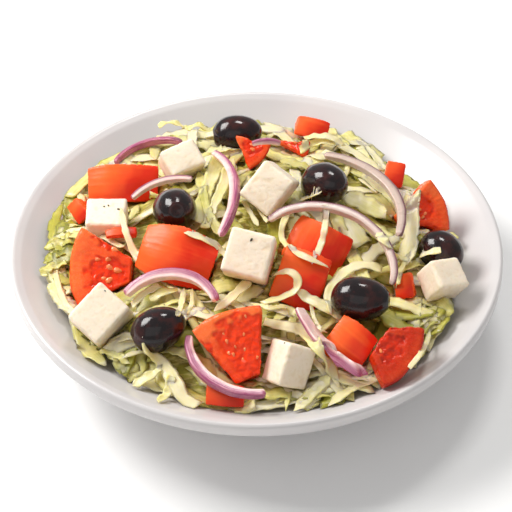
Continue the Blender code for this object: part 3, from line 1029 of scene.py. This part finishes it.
def make_onion(node, index, material):
    bm = node_shape(node)
    rows = smooth_line(onion_sections(bm), ONION_ROWS)
    bm.free()
    purple_from, faded, widening = ONION_LOOKS[index]
    rows[:, 3:9] *= widening
    lengths = lengths_along(rows[:, 0:3])
    rings = []
    outside, around, along = [], [], []
    for at, row in enumerate(rows):
        share = at / (len(rows) - 1)
        ends = min(share, 1.0 - share) / 0.03
        closing = max(math.sqrt(1.0 - (1.0 - ends) ** 2), 0.02) if ends < 1.0 else 1.0
        centre, out, side = (Vector(row[start : start + 3]) for start in (0, 3, 6))
        ring = []
        for step in range(ONION_SIDES):
            angle = -math.tau * step / ONION_SIDES
            lean, rise = squared(math.cos(angle)), squared(math.sin(angle))
            if lean < 0.0:
                lean += 0.22 * (1.0 - rise * rise)
            spot = centre + (out * lean + side * rise) * closing
            waver = noise.noise(spot / (5 * MM) + Vector((index, 0, 0)))
            ring.append(spot + out.normalized() * waver * 0.25 * MM)
            outside.append(min(max((lean - purple_from) / 0.35, 0.0), 1.0))
            around.append(abs(rise) * side.length + (1.0 - lean) * out.length)
            along.append(lengths[at])
        rings.append(ring)
    onion = object_over(f"red_onion_arc_{index + 1:02d}", rings)
    edit(onion, face_outward)
    store(onion, outside=outside, around=around, along=along, faded=faded)
    as_piece(onion, material, "onion_layer", node)


class SALAD_OT_onions(bpy.types.Operator):
    """Shapes the arcs of red onion, pale inside with a purple outer side"""

    bl_idname = "salad.onions"
    bl_label = "Onions"

    def execute(self, context):
        return make_each(ONIONS, make_onion, onion_surface(context.scene.salad_onions))


# Lettuce

# How far the loose lettuce reaches, in millimetres, at each of these turns in degrees.
EDGE_TURNS = (-180, -160, -145, -130, -118, -105, -90, -72, -55, -40, -25, -8)
EDGE_TURNS += (10, 30, 45, 58, 70, 90, 110, 130, 150, 170, 180)
EDGE_REACHES = (96.5, 93.0, 92.5, 95.0, 98.5, 97.5, 97.0, 99.0, 98.5, 96.0, 93.5, 91.5)
EDGE_REACHES += (91.0, 92.5, 91.0, 91.0, 96.0, 94.5, 94.0, 93.5, 94.5, 94.5, 96.5)

# The shreds that lie on top, in millimetres: width, thickness, tone from rib to dark leaf,
# ruffle, and then the places that the shred passes through.
CHOSEN_SHREDS = (
    (3.4, 0.9, 0.0, 0.2, -60.2, 6.9, 56.1, -57.4, -7.2, 54.5, -52.7, -17.2, 49.4,
     -46.6, -27.7, 47.9),
    (2.8, 0.8, 0.05, 0.3, -90.7, 3.9, 38.9, -80.5, 8.4, 41.5, -68.6, -2.4, 47.7,
     -58.3, -11.4, 48.2),
    (3.0, 0.8, 0.1, 0.3, -89.5, 0.5, 38.9, -89.5, -10.6, 38.4, -87.1, -23.8, 38.1,
     -82.6, -36.5, 38.3, -75.9, -46.1, 37.6),
    (7.0, 0.6, 0.35, 0.8, -14.4, 62.8, 45.6, -19.5, 36.7, 51.7, -23.2, 17.7, 53.7,
     -25.9, -0.4, 54.2),
    (5.0, 0.6, 0.2, 0.5, -10.9, 48.3, 50.4, -14.7, 25.9, 53.7, -19.0, 9.9, 54.6,
     -22.7, -4.7, 54.6),
    (4.5, 0.5, 0.55, 0.7, -26.4, 39.1, 49.7, -24.1, 20.7, 53.5, -21.1, 4.4, 54.8,
     -15.1, -8.5, 53.3),
    (5.5, 0.6, 0.25, 0.4, -22.7, 57.9, 47.2, -16.1, 57.1, 47.9, -9.6, 59.9, 46.8),
    (3.8, 0.9, 0.05, 0.2, -30.5, -16.9, 63.3, -22.7, -18.6, 60.7, -15.9, -18.6, 54.3,
     -10.6, -24.6, 52.7),
    (5.0, 1.0, 0.0, 0.2, -1.9, -33.6, 51.8, -6.2, -40.2, 52.2, -11.3, -45.7, 51.0,
     -18.0, -51.5, 49.6),
    (3.0, 0.8, 0.1, 0.1, 15.0, 9.6, 53.7, 11.2, -6.8, 56.5, 12.0, -16.0, 56.1, 18.6, -29.1, 61.7,
     30.6, -32.5, 57.3),
    (3.2, 0.8, 0.0, 0.1, 31.6, 11.5, 52.0, 29.9, -9.8, 60.4, 28.1, -16.9, 56.3, 23.7, -33.2, 59.7),
    (2.0, 0.7, -0.1, 0.1, 23.1, -48.1, 50.4, 24.3, -54.8, 48.7, 26.5, -64.9, 52.9,
     30.1, -61.1, 46.1),
    (3.4, 0.8, 0.1, 0.3, 6.7, -34.4, 53.7, 12.6, -36.5, 58.7, 17.2, -39.8, 58.3,
     16.8, -43.2, 54.5, 11.3, -45.9, 52.4, 2.3, -48.5, 51.4),
    (3.6, 0.8, 0.2, 0.3, -2.7, -48.3, 51.2, 4.8, -61.4, 61.8, 12.5, -50.8, 50.7,
     18.4, -53.4, 47.4),
    (6.0, 1.2, 0.05, 0.2, 3.2, -56.8, 47.1, 11.6, -59.4, 48.6, 19.9, -62.0, 47.6,
     25.4, -75.5, 52.0, 30.6, -77.4, 42.0, 34.1, -85.8, 38.2),
    (5.5, 1.0, 0.15, 0.3, 17.3, -43.0, 51.9, 24.0, -47.1, 51.2, 31.2, -49.8, 49.1,
     37.6, -51.4, 45.3),
    (5.5, 1.0, 0.05, 0.5, -47.1, -72.4, 49.3, -40.3, -73.3, 41.9, -34.2, -82.6, 40.3,
     -29.9, -90.1, 37.5, -24.0, -93.6, 36.5),
    (4.8, 0.9, 0.05, 0.4, 29.3, -95.5, 37.9, 35.7, -88.8, 38.5, 42.1, -83.8, 37.9,
     50.2, -79.6, 37.7),
    (5.0, 0.9, 0.2, 0.4, 15.3, -97.7, 37.3, 20.4, -91.7, 38.0, 25.4, -86.0, 39.1,
     30.1, -81.1, 39.8),
    (2.2, 0.8, -0.05, 0.1, 71.7, -48.4, 41.1, 72.9, -57.2, 39.1, 67.3, -78.1, 51.1,
     62.7, -83.1, 48.0),
    (7.0, 1.1, 0.15, 0.3, 54.9, -39.5, 44.3, 62.5, -41.9, 44.3, 70.2, -44.3, 41.9,
     78.9, -46.7, 38.2),
    (7.5, 0.8, 0.05, 0.2, 70.3, 24.0, 48.2, 69.8, 9.9, 48.6, 68.7, -2.6, 46.7, 64.6, -19.4, 46.6),
    (9.0, 0.7, 0.2, 1.0, 40.0, 20.9, 51.4, 48.2, 15.4, 51.4, 58.2, 10.1, 48.9),
    (5.5, 0.8, 0.1, 0.6, 51.5, 3.1, 48.7, 55.3, -17.8, 59.5, 62.1, -16.1, 47.2),
    (2.8, 0.6, 0.3, 0.3, 60.4, -31.4, 46.1, 63.5, -22.2, 46.9, 68.7, -9.7, 46.0),
    (3.0, 0.6, 0.15, 0.3, 58.5, -17.8, 46.4, 62.9, -16.6, 47.6, 67.4, -17.2, 45.8),
    (5.0, 1.0, 0.05, 0.3, 31.6, -52.6, 47.8, 30.9, -44.4, 50.4, 34.1, -35.6, 51.9,
     40.4, -27.9, 51.7, 47.6, -24.0, 50.5, 54.6, -24.8, 48.1),
    (3.6, 0.8, 0.0, 0.2, 72.1, -12.5, 45.0, 76.0, -15.7, 50.4, 80.6, -16.0, 51.9),
    (2.6, 0.7, 0.1, 0.2, -6.0, 12.6, 55.2, -2.9, 4.2, 56.1, 0.7, -4.6, 55.7),
    (2.4, 0.7, 0.1, 0.2, -2.0, 15.5, 53.8, 1.1, 8.5, 54.1, 4.7, -2.1, 55.8),
    (2.8, 0.6, -0.15, 0.1, 19.5, 13.9, 54.7, 23.5, 13.6, 56.7, 28.2, 10.9, 61.5),
    (1.4, 0.5, -0.05, 0.1, 46.7, 36.4, 48.4, 50.2, 31.8, 48.7, 55.0, 26.7, 47.7),
    (1.4, 0.5, -0.05, 0.1, 50.6, 39.5, 46.9, 53.1, 33.8, 47.6, 56.1, 30.9, 47.1),
    (5.0, 0.8, 0.2, 0.8, 20.4, 56.2, 48.6, 26.1, 61.4, 48.0, 32.7, 62.1, 49.2, 38.4, 61.8, 47.7),
    (4.0, 0.7, 0.1, 0.6, 22.4, 64.0, 49.5, 28.9, 63.7, 50.9, 35.5, 63.2, 50.2, 40.3, 61.1, 47.0),
    (6.0, 0.6, 0.5, 0.6, 10.9, 46.1, 51.0, 17.3, 43.2, 51.6, 24.8, 42.6, 49.1),
    (4.0, 0.5, 0.4, 1.0, -46.2, 66.2, 55.0, -39.6, 66.4, 57.2, -33.1, 66.1, 53.9),
    (3.5, 0.5, 0.35, 1.0, -35.0, 65.2, 52.1, -28.4, 66.2, 55.5, -21.8, 66.1, 52.6),
    (6.0, 0.5, 0.65, 1.2, -95.4, 0.0, 38.2, -90.0, 1.1, 39.6, -83.6, 2.0, 41.3, -78.4, 4.7, 41.2),
    (5.0, 0.5, 0.75, 1.2, -93.8, -8.2, 37.3, -88.5, -6.0, 39.5, -82.2, -4.9, 41.6),
    (5.0, 0.5, 0.55, 1.2, -94.8, -17.3, 37.4, -90.6, -13.4, 38.6, -84.4, -11.6, 40.5),
    (5.0, 0.6, 0.3, 0.7, -51.7, -82.4, 36.4, -45.9, -80.0, 38.7, -39.3, -76.5, 41.1),
    (5.0, 0.6, 0.45, 0.8, -66.1, -63.6, 38.4, -60.0, -66.9, 39.4, -53.0, -72.1, 38.8),
    (4.0, 0.6, 0.2, 0.5, -40.4, -94.0, 39.3, -36.6, -86.9, 37.6, -35.1, -80.4, 40.3),
    (5.5, 0.6, 0.45, 0.6, -45.5, -42.8, 47.6, -40.4, -39.8, 49.4, -33.6, -39.4, 50.2),
    (2.6, 0.7, 0.1, 0.2, -31.0, -38.7, 50.8, -31.7, -46.4, 49.9, -32.7, -61.7, 56.9),
    (2.2, 0.7, 0.1, 0.2, -27.6, -39.8, 51.2, -27.4, -46.4, 49.9, -29.0, -52.8, 47.9),
    (3.2, 0.7, 0.0, 0.2, -53.2, -44.7, 45.9, -48.2, -39.8, 48.3, -41.4, -36.3, 49.6),
)
CHOSEN_LOOK = 4
CHOSEN_STEPS, SCATTERED_STEPS = 30, 22

# The scattered shreds: the setting of their number, and how many of each few lie at the
# heap's edge, then the ranges of length, width and thickness, of tone and of ruffle.
SCATTERED_SHREDS = (
    ("leaf_shreds", 2, 5, (32, 66), (6, 12), (0.4, 0.7), (0.05, 1.05), (0.3, 1.1)),
    ("rib_shreds", 1, 7, (34, 78), (3, 7), (0.5, 0.9), (-0.25, 0.60), (0.1, 0.6)),
)

# Across and up or down for each point of a shred's flat section, all the way round.
SHRED_SECTION = [(step / 3 - 1.0, 1.0) for step in range(7)]
SHRED_SECTION += [(step / 3 - 1.0, -1.0) for step in range(5, 0, -1)]


GRID_HALF = 112
HEAP_LIMIT, LINE_LIMIT = 106 * MM, 93 * MM
CORE_UNDER_TOPPING, CORE_OVER_BOWL, CORE_INSET = 1.6 * MM, 1.1 * MM, 8.0 * MM
TOPPING_GAP, BOWL_GAP = 0.6 * MM, 0.35 * MM
TEAR_LENGTH = 3.2 * MM


def edge_radius(angle):
    """Radius that the loose lettuce reaches in that direction."""
    return float(np.interp(math.degrees(angle), EDGE_TURNS, EDGE_REACHES)) * MM


class Heap:
    """Heights over a grid of 1 mm cells: the lettuce, and the toppings' undersides and tops."""

    def __init__(self, settings):
        self.settings = settings
        joined = bmesh.new()
        for node in OLIVES + FETAS + TOMATOES + ONIONS:
            joined.from_mesh(frame["nodes"][node].data)
        tree = BVHTree.FromBMesh(joined)
        joined.free()
        size = 2 * GRID_HALF + 1
        self.under = np.full((size, size), 1.0)
        self.crown = np.full((size, size), -1.0)
        self.ground = np.full((size, size), -1.0)
        for row, column in np.ndindex(size, size):
            x, y = (column - GRID_HALF) * MM, (row - GRID_HALF) * MM
            if math.hypot(x, y) > HEAP_LIMIT:
                continue
            low = tree.ray_cast(Vector((x, y, 0.0)), UP)[0]
            if low is not None:
                self.under[row, column] = low.z
                self.crown[row, column] = tree.ray_cast(Vector((x, y, 0.2)), -UP)[0].z
            self.ground[row, column] = self.core_top(x, y, self.under[row, column])

    def top(self, x, y):
        share = min(math.hypot(x, y) / self.settings.radius, 1.0)
        return self.settings.edge_height + self.settings.rise * (1.0 - share**2)

    def core_top(self, x, y, under):
        """Height of the core: lumpy, lower than the heap, and under the toppings."""
        lumps = noise.fractal(Vector((x, y, 0.0)) / (7 * MM), 0.6, 2.2, 4)
        height = self.top(x, y) - self.settings.core_drop + 1.6 * MM * lumps
        lowest = hollow_height(math.hypot(x, y)) + CORE_OVER_BOWL
        return max(min(height, under - CORE_UNDER_TOPPING), lowest)

    def cell(self, x, y):
        row, column = (min(max(at / MM, -GRID_HALF), GRID_HALF) for at in (y, x))
        return int(round(row)) + GRID_HALF, int(round(column)) + GRID_HALF

    def around(self, x, y, side, reach):
        """Highest ground and lowest underside across a shred at the place."""
        shifts = [reach * step for step in (-1.0, -0.5, 0.0, 0.5, 1.0)]
        cells = [self.cell(x + side[0] * shift, y + side[1] * shift) for shift in shifts]
        return max(self.ground[cell] for cell in cells), min(self.under[cell] for cell in cells)


def leaf_surface(settings):
    surface = Surface("Lettuce", (0.15, 0.2), (0.6, (1.0, 0.85, 0.3), 0.0028))
    tone, edge, along, across = surface.attributes("tone", "edge", "along", "across")
    cloud = surface.noise(0.011, 4.0)
    veins = surface.grain_of(along * 0.10, across, 0.0012)
    shade = tone + cloud.band(0.3, 0.7, -0.22, 0.22) + edge * 0.15
    shade = shade + veins.band(0.35, 0.7, -0.08, 0.10)
    leaf = shade.band(0.0, 0.4).mix(settings.cream, settings.pale)
    leaf = shade.band(0.45, 0.85).mix(leaf, settings.green)
    leaf = shade.band(0.95, 1.3).mix(leaf, settings.dark)
    blisters = surface.noise(0.003, 2.0) + veins * 0.4
    return surface.finish(leaf, cloud.band(0.3, 0.7, 0.32, 0.5), blisters, 0.00022)


def core_surface(settings):
    surface = Surface("Lettuce core with painted shade", soft=(0.3, (1.0, 0.85, 0.25), 0.002))
    cloud = surface.noise(0.006, 5.0)
    folds = surface.noise(0.005, 4.0, surface.stretched((1.0, 3.0, 1.0)))
    # Painted shade: the core is mostly the dark deep colour, standing in for the shade in the gaps
    # between the shreds.
    base = cloud.band(0.35, 0.65).mix(settings.deep, settings.green)
    leaf = folds.band(0.5, 0.72).mix(base, settings.pale)
    return surface.finish(leaf, cloud.band(0.3, 0.7, 0.4, 0.6), folds, 0.001)


class Shreds:
    """Gathers the closed ribbons of one piece and keeps track of the heap's height."""

    def __init__(self, name, heap):
        self.name = name
        self.heap = heap
        self.points = []
        self.faces = []
        self.values = []

    def lay(self, line, width, thickness, tone, draw, ruffle, curl, twist, over=False):
        """Adds one shred along a line of points, each with its height."""
        lengths = lengths_along(line)
        tangents = np.gradient(line, axis=0)
        tangents /= np.linalg.norm(tangents, axis=1)[:, None]
        phase = draw.uniform(0, math.tau), draw.uniform(0, math.tau)
        wave = draw.uniform(5.0, 9.0) * MM
        first_roll = draw.uniform(-0.2, 0.2)
        jag = draw.uniform(-1.8, 1.8), draw.uniform(-1.8, 1.8)
        start_width, end_width = (draw.choice((0.1, 0.35, 0.6, 0.75, 0.9)) for _ in range(2))
        torn = draw.uniform(0, 50.0)
        shift = len(self.points) % 997 * 0.01
        rings = []
        for at, (middle, tangent) in enumerate(zip(line, tangents)):
            share = at / (len(line) - 1)
            level = np.array([-tangent[1], tangent[0], 0.0])
            level /= max(np.linalg.norm(level), 1e-6)
            roll = first_roll + twist * (share - 0.5)
            side = level * math.cos(roll) + np.cross(tangent, level) * math.sin(roll)
            above = np.cross(tangent, side)
            tear = noise.noise(Vector((lengths[at] / TEAR_LENGTH + torn, torn, 0.0)))
            swell = 1.0 + 0.14 * math.sin(lengths[at] / wave * 0.9 + phase[0]) + 0.30 * tear
            taper = min(1.0, start_width + share * 5.0, end_width + (1.0 - share) * 5.0)
            half = width / 2 * swell * taper
            slant = {0: jag[0], len(line) - 1: jag[1]}.get(at, 0.0) * half * 0.5
            ring = []
            for across, face in SHRED_SECTION:
                ripple = math.sin(lengths[at] / wave * math.tau + phase[0 if across < 0 else 1])
                lift = ruffle * abs(across) ** 1.5 * ripple + curl * (across**2 - 0.4) * half
                lift += face * thickness / 2 * (1.0 - 0.8 * abs(across) ** 5) * min(taper, 0.8)
                spot = middle + side * across * half + above * lift + tangent * slant * across
                x, y, z = self.kept(spot, over)
                ring.append((x, y, z))
                if face > 0:
                    cell = self.heap.cell(x, y)
                    self.heap.ground[cell] = max(self.heap.ground[cell], z)
                self.values.append((tone, abs(across) ** 3, lengths[at] + shift, across * half))
            rings.append(ring)
        add_skin(self.points, self.faces, rings, flip=True)

    def kept(self, spot, over):
        """The point, moved out of the toppings and the bowl's wall."""
        x, y, z = spot
        cell = self.heap.cell(x, y)
        under, crown = self.heap.under[cell], self.heap.crown[cell]
        if under - 0.4 * MM < z < crown + 0.5 * MM:
            above = over and z > (under + crown) / 2
            z = crown + TOPPING_GAP if above else under - TOPPING_GAP
        floor = hollow_height(min(math.hypot(x, y), 0.104)) + BOWL_GAP
        return x, y, max(z, floor)

    def piece(self, material):
        obj = object_from(self.name, self.points, self.faces)
        edit(obj, face_outward)
        tone, edge, along, across = zip(*self.values)
        store(obj, tone=tone, edge=edge, along=along, across=across)
        as_piece(obj, material, "lettuce_leaf")


def wandering_line(draw, length_of_line, at_edge):
    """Places of a bent line somewhere on the heap, cut short where it leaves the heap."""
    radius = LINE_LIMIT * math.sqrt(draw.uniform(0.80, 1.02) if at_edge else draw.random())
    angle = draw.uniform(0, math.tau)
    x, y, _ = turned(radius, angle)
    heading = draw.uniform(0, math.tau)
    if at_edge:
        heading = angle + math.pi / 2 + draw.gauss(0.0, 0.8)
    bend = draw.gauss(0.0, 15.0) + (6.0 if at_edge else 0.0)
    change = draw.gauss(0.0, 300.0)
    half = 10
    stride = length_of_line / (2 * half - 1)
    ragged = draw.uniform(-5.0, 1.5) * MM
    places = {}
    for direction in (1, -1):
        px, py, way = x, y, heading
        for step in range(half):
            places[direction * step] = (px, py)
            way += (bend + change * step * stride * direction) * stride * direction
            px += math.cos(way) * stride * direction
            py += math.sin(way) * stride * direction
            if math.hypot(px, py) > edge_radius(math.atan2(py, px)) + ragged:
                break
    return [places[step] for step in sorted(places)]


def laid_heights(heap, line, width, thickness):
    """Heights of a springy shred that rests on the ground and passes under the toppings."""
    sides = np.gradient(np.array(line), axis=0)
    sides = np.column_stack([-sides[:, 1], sides[:, 0]])
    sides /= np.maximum(np.linalg.norm(sides, axis=1), 1e-9)[:, None]
    rests = []
    roofs = []
    for (x, y), side in zip(line, sides):
        ground, under = heap.around(x, y, side, width * 0.42)
        rests.append(min(ground + thickness * 0.5, heap.top(x, y) + 1.4 * MM))
        roofs.append(under - 0.5 * MM - thickness * 0.5)
    roofs = np.array(roofs)
    lowest = np.minimum(rests, roofs)
    heights = lowest
    for _ in range(14):
        middle = heights.copy()
        middle[1:-1] = (heights[:-2] + heights[2:]) / 2
        heights = np.minimum(np.maximum(middle, lowest), roofs)
    return settled(heights, 2)


def settled(heights, times):
    """The heights, with each one drawn towards its neighbours."""
    for _ in range(times):
        heights = heights.copy()
        heights[1:-1] = (heights[:-2] + 2 * heights[1:-1] + heights[2:]) / 4
    return heights


def raised(heap, line, thickness):
    """The line, lifted out of the lettuce that is already laid."""
    rests = np.array([heap.ground[heap.cell(x, y)] for x, y, _ in line]) + thickness * 0.4
    heights = np.maximum(line[:, 2], np.minimum(rests, line[:, 2] + 1.5 * MM))
    return np.column_stack([line[:, :2], settled(heights, 3)])


class SALAD_OT_lettuce_core(bpy.types.Operator):
    """Shapes the core of the heap under the loose shreds, dark with painted shade"""

    bl_idname = "salad.lettuce_core"
    bl_label = "Lettuce core"

    def execute(self, context):
        settings = context.scene.salad_lettuce
        heap = Heap(settings)
        angles = [math.tau * side / CORE_SIDES for side in range(CORE_SIDES)]
        rings = [[(0.0, 0.0, heap.ground[heap.cell(0.0, 0.0)])]]
        for share in (circle / CORE_CIRCLES for circle in range(1, CORE_CIRCLES + 1)):
            ring = []
            for angle in angles:
                reach = edge_radius((angle + math.pi) % math.tau - math.pi) - CORE_INSET
                x, y, _ = turned(reach * share, angle)
                ring.append((x, y, heap.ground[heap.cell(x, y)]))
            rings.append(ring)
        rim = rings[-1]
        for share in (1.0 - row / CORE_ROWS for row in range(CORE_ROWS + 1)):
            ring = []
            for angle, (x, y, _) in zip(angles if share else angles[:1], rim):
                radius = math.hypot(x, y) * share
                ring.append(turned(radius, angle, hollow_height(radius) + 0.6 * MM))
            rings.append(ring)
        core = object_over("lettuce_core", rings)
        as_piece(core, core_surface(settings), "lettuce_leaf", "lettuce")
        return {"FINISHED"}


class SALAD_OT_shreds(bpy.types.Operator):
    """Lays the loose shreds of lettuce over the core and around the toppings"""

    bl_idname = "salad.shreds"
    bl_label = "Lettuce shreds"

    def execute(self, context):
        settings = context.scene.salad_lettuce
        heap = Heap(settings)
        material = leaf_surface(settings)
        draw = random.Random(settings.seed)
        for kind, at_edge, each, *ranges in SCATTERED_SHREDS:
            shreds = Shreds("lettuce_" + kind, heap)
            for place in range(getattr(settings, kind)):
                reach, width, thickness, tone, ruffle = (draw.uniform(*ends) for ends in ranges)
                shape = ruffle * MM, draw.uniform(-0.2, 0.2), draw.gauss(0.0, 0.3)
                line = wandering_line(draw, reach * MM, place % each < at_edge)
                if len(line) < 6:
                    continue
                width, thickness = width * MM, thickness * MM
                heights = laid_heights(heap, line, width, thickness)
                line = smooth_line(np.column_stack([line, heights]), SCATTERED_STEPS)
                shreds.lay(line, width, thickness, tone, draw, *shape)
            shreds.piece(material)
        chosen = Shreds("lettuce_top_shreds", heap)
        for row in CHOSEN_SHREDS:
            width, thickness, tone, ruffle = row[:CHOSEN_LOOK]
            line = smooth_line(np.array(row[CHOSEN_LOOK:]).reshape(-1, 3) * MM, CHOSEN_STEPS)
            line = raised(heap, line, thickness * MM)
            shape = ruffle * MM * 0.7, draw.uniform(0.0, 0.25), draw.gauss(0.0, 0.2)
            chosen.lay(line, width * MM, thickness * MM, tone, draw, *shape, over=True)
        chosen.piece(material)
        return {"FINISHED"}


# Herbs on the cheese

# For each flake: its cube, its shift from the cube's middle and its size, in millimetres.
HERBS = (
    ("feta_04", 1.0, -1.5, 0.9), ("feta_02", -1.0, 2.0, 0.6), ("feta_02", 0.8, 2.6, 0.6),
    ("feta_02", 5.5, 0.5, 0.9), ("feta_03", 2.0, 3.0, 0.5), ("feta_06", -2.0, 2.0, 0.5),
)


def herb_surface(settings):
    surface = Surface("Dried herb")
    grain = surface.noise(0.0004)
    herb = grain.mix(settings.herb, (0.02, 0.02, 0.015))
    return surface.finish(herb, grain.band(0.0, 1.0, 0.5, 0.8), grain, 0.0001)


class SALAD_OT_herbs(bpy.types.Operator):
    """Lays small dark flakes of dried herb on the feta"""

    bl_idname = "salad.herbs"
    bl_label = "Herbs"

    def execute(self, context):
        draw = random.Random(5)
        points, faces = [], []
        for node, shift_x, shift_y, size in HERBS:
            cube = bpy.data.objects[f"feta_cube_{FETAS.index(node) + 1:02d}"]
            low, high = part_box(node)
            middle = (low + high) / 2
            start = Vector((middle.x + shift_x * MM, middle.y + shift_y * MM, high.z + 0.01))
            hit, spot, normal, _ = cube.ray_cast(start, -UP)
            if not hit:
                raise RuntimeError(f"the herb flake on {node} misses its cube")
            side = normal.cross(Vector((draw.uniform(-1, 1), draw.uniform(-1, 1), 0.3)))
            side.normalize()
            ahead = side.cross(normal)
            rings = []
            for level in (0.22, -0.1):
                ring = []
                for angle in (math.tau * step / 7 for step in range(7)):
                    reach = size * MM * draw.uniform(0.6, 1.1)
                    offset = ahead * math.cos(angle) * reach + side * math.sin(angle) * reach * 0.6
                    ring.append(spot + offset + normal * level * MM)
                rings.append(ring)
            add_skin(points, faces, rings)
        flakes = object_from("herb_flakes", points, faces)
        edit(flakes, face_outward)
        as_piece(flakes, herb_surface(context.scene.salad_feta), "feta_cheese")
        return {"FINISHED"}


# Stage

LIGHT_AIM = Vector((0.0, 0.0, 0.04))
FLOOR_CORNERS = [(-2.5, -2.5, 0.0), (2.5, -2.5, 0.0), (2.5, 4.0, 0.0), (-2.5, 4.0, 0.0)]


def area_light(name, power, size, place, color):
    light = bpy.data.lights.new(name, "AREA")
    light.energy = power
    light.shape = "RECTANGLE"
    light.size, light.size_y = size
    light.color = color
    obj = link(name, light)
    obj.location = place
    obj.rotation_euler = (Vector(place) - LIGHT_AIM).to_track_quat("Z", "Y").to_euler()


class SALAD_OT_stage(bpy.types.Operator):
    """Sets the floor, the soft studio light and the camera"""

    bl_idname = "salad.stage"
    bl_label = "Stage"

    def execute(self, context):
        scene = context.scene
        settings = scene.salad_stage
        floor = object_from("studio_floor", FLOOR_CORNERS, [(0, 1, 2, 3)])
        surface = Surface("Studio floor", Specular_IOR_Level=0.2)
        grain = surface.noise(0.08, 2.0)
        shade = tuple(channel * 0.985 for channel in settings.floor)
        paint = surface.finish(grain.mix(settings.floor, shade), grain.band(0.0, 1.0, 0.7, 0.8))
        floor.data.materials.append(paint)
        world = bpy.data.worlds.new("Studio")
        world.use_nodes = True
        background = world.node_tree.nodes["Background"]
        background.inputs["Color"].default_value = (1.0, 0.995, 0.985, 1.0)
        background.inputs["Strength"].default_value = settings.sky
        scene.world = world
        area_light("key_light", settings.key, (0.55, 0.45), (-0.70, 0.30, 0.80), (1.0, 0.985, 0.96))
        area_light("fill_light", settings.fill, (0.26, 0.20), (0.14, 0.46, 0.98), (1.0, 0.99, 0.97))
        area_light("front_light", settings.front, (1.6, 1.2), (-0.3, -1.2, 1.1), (1.0, 0.99, 0.98))
        camera = bpy.data.cameras.new("camera")
        camera.lens = settings.lens
        camera.sensor_width = 36.0
        view = link("camera", camera)
        target = Vector((settings.aim_side, 0.0, settings.aim_height))
        back = Vector((0.0, -math.cos(settings.elevation), math.sin(settings.elevation)))
        view.location = target + back * settings.distance
        view.rotation_euler = back.to_track_quat("Z", "Y").to_euler()
        scene.camera = view
        scene.view_settings.view_transform = "Standard"
        return {"FINISHED"}


STEPS = (
    SALAD_OT_bowl,
    SALAD_OT_lettuce_core,
    SALAD_OT_shreds,
    SALAD_OT_olives,
    SALAD_OT_feta,
    SALAD_OT_tomatoes,
    SALAD_OT_onions,
    SALAD_OT_herbs,
    SALAD_OT_stage,
)


class SALAD_PT_panel(bpy.types.Panel):
    """Lists the steps that finish the salad"""

    bl_idname = "SALAD_PT_panel"
    bl_label = "Greek Salad"
    bl_space_type = "VIEW_3D"
    bl_region_type = "UI"
    bl_category = "Salad"

    def draw(self, context):
        for step in STEPS:
            self.layout.operator(step.bl_idname)


SETTINGS = {
    "salad_bowl": SaladBowlSettings,
    "salad_lettuce": SaladLettuceSettings,
    "salad_olives": SaladOliveSettings,
    "salad_feta": SaladFetaSettings,
    "salad_tomatoes": SaladTomatoSettings,
    "salad_onions": SaladOnionSettings,
    "salad_stage": SaladStageSettings,
}


def register():
    for kind in (*SETTINGS.values(), *STEPS, SALAD_PT_panel):
        bpy.utils.register_class(kind)
    for name, kind in SETTINGS.items():
        setattr(bpy.types.Scene, name, PointerProperty(type=kind))


def unregister():
    for name in SETTINGS:
        delattr(bpy.types.Scene, name)
    for kind in reversed((*SETTINGS.values(), *STEPS, SALAD_PT_panel)):
        bpy.utils.unregister_class(kind)


def main():
    register()
    bpy.ops.salad.bowl()
    bpy.ops.salad.lettuce_core()
    bpy.ops.salad.shreds()
    bpy.ops.salad.olives()
    bpy.ops.salad.feta()
    bpy.ops.salad.tomatoes()
    bpy.ops.salad.onions()
    bpy.ops.salad.herbs()
    bpy.ops.salad.stage()


if __name__ == "__main__":
    main()
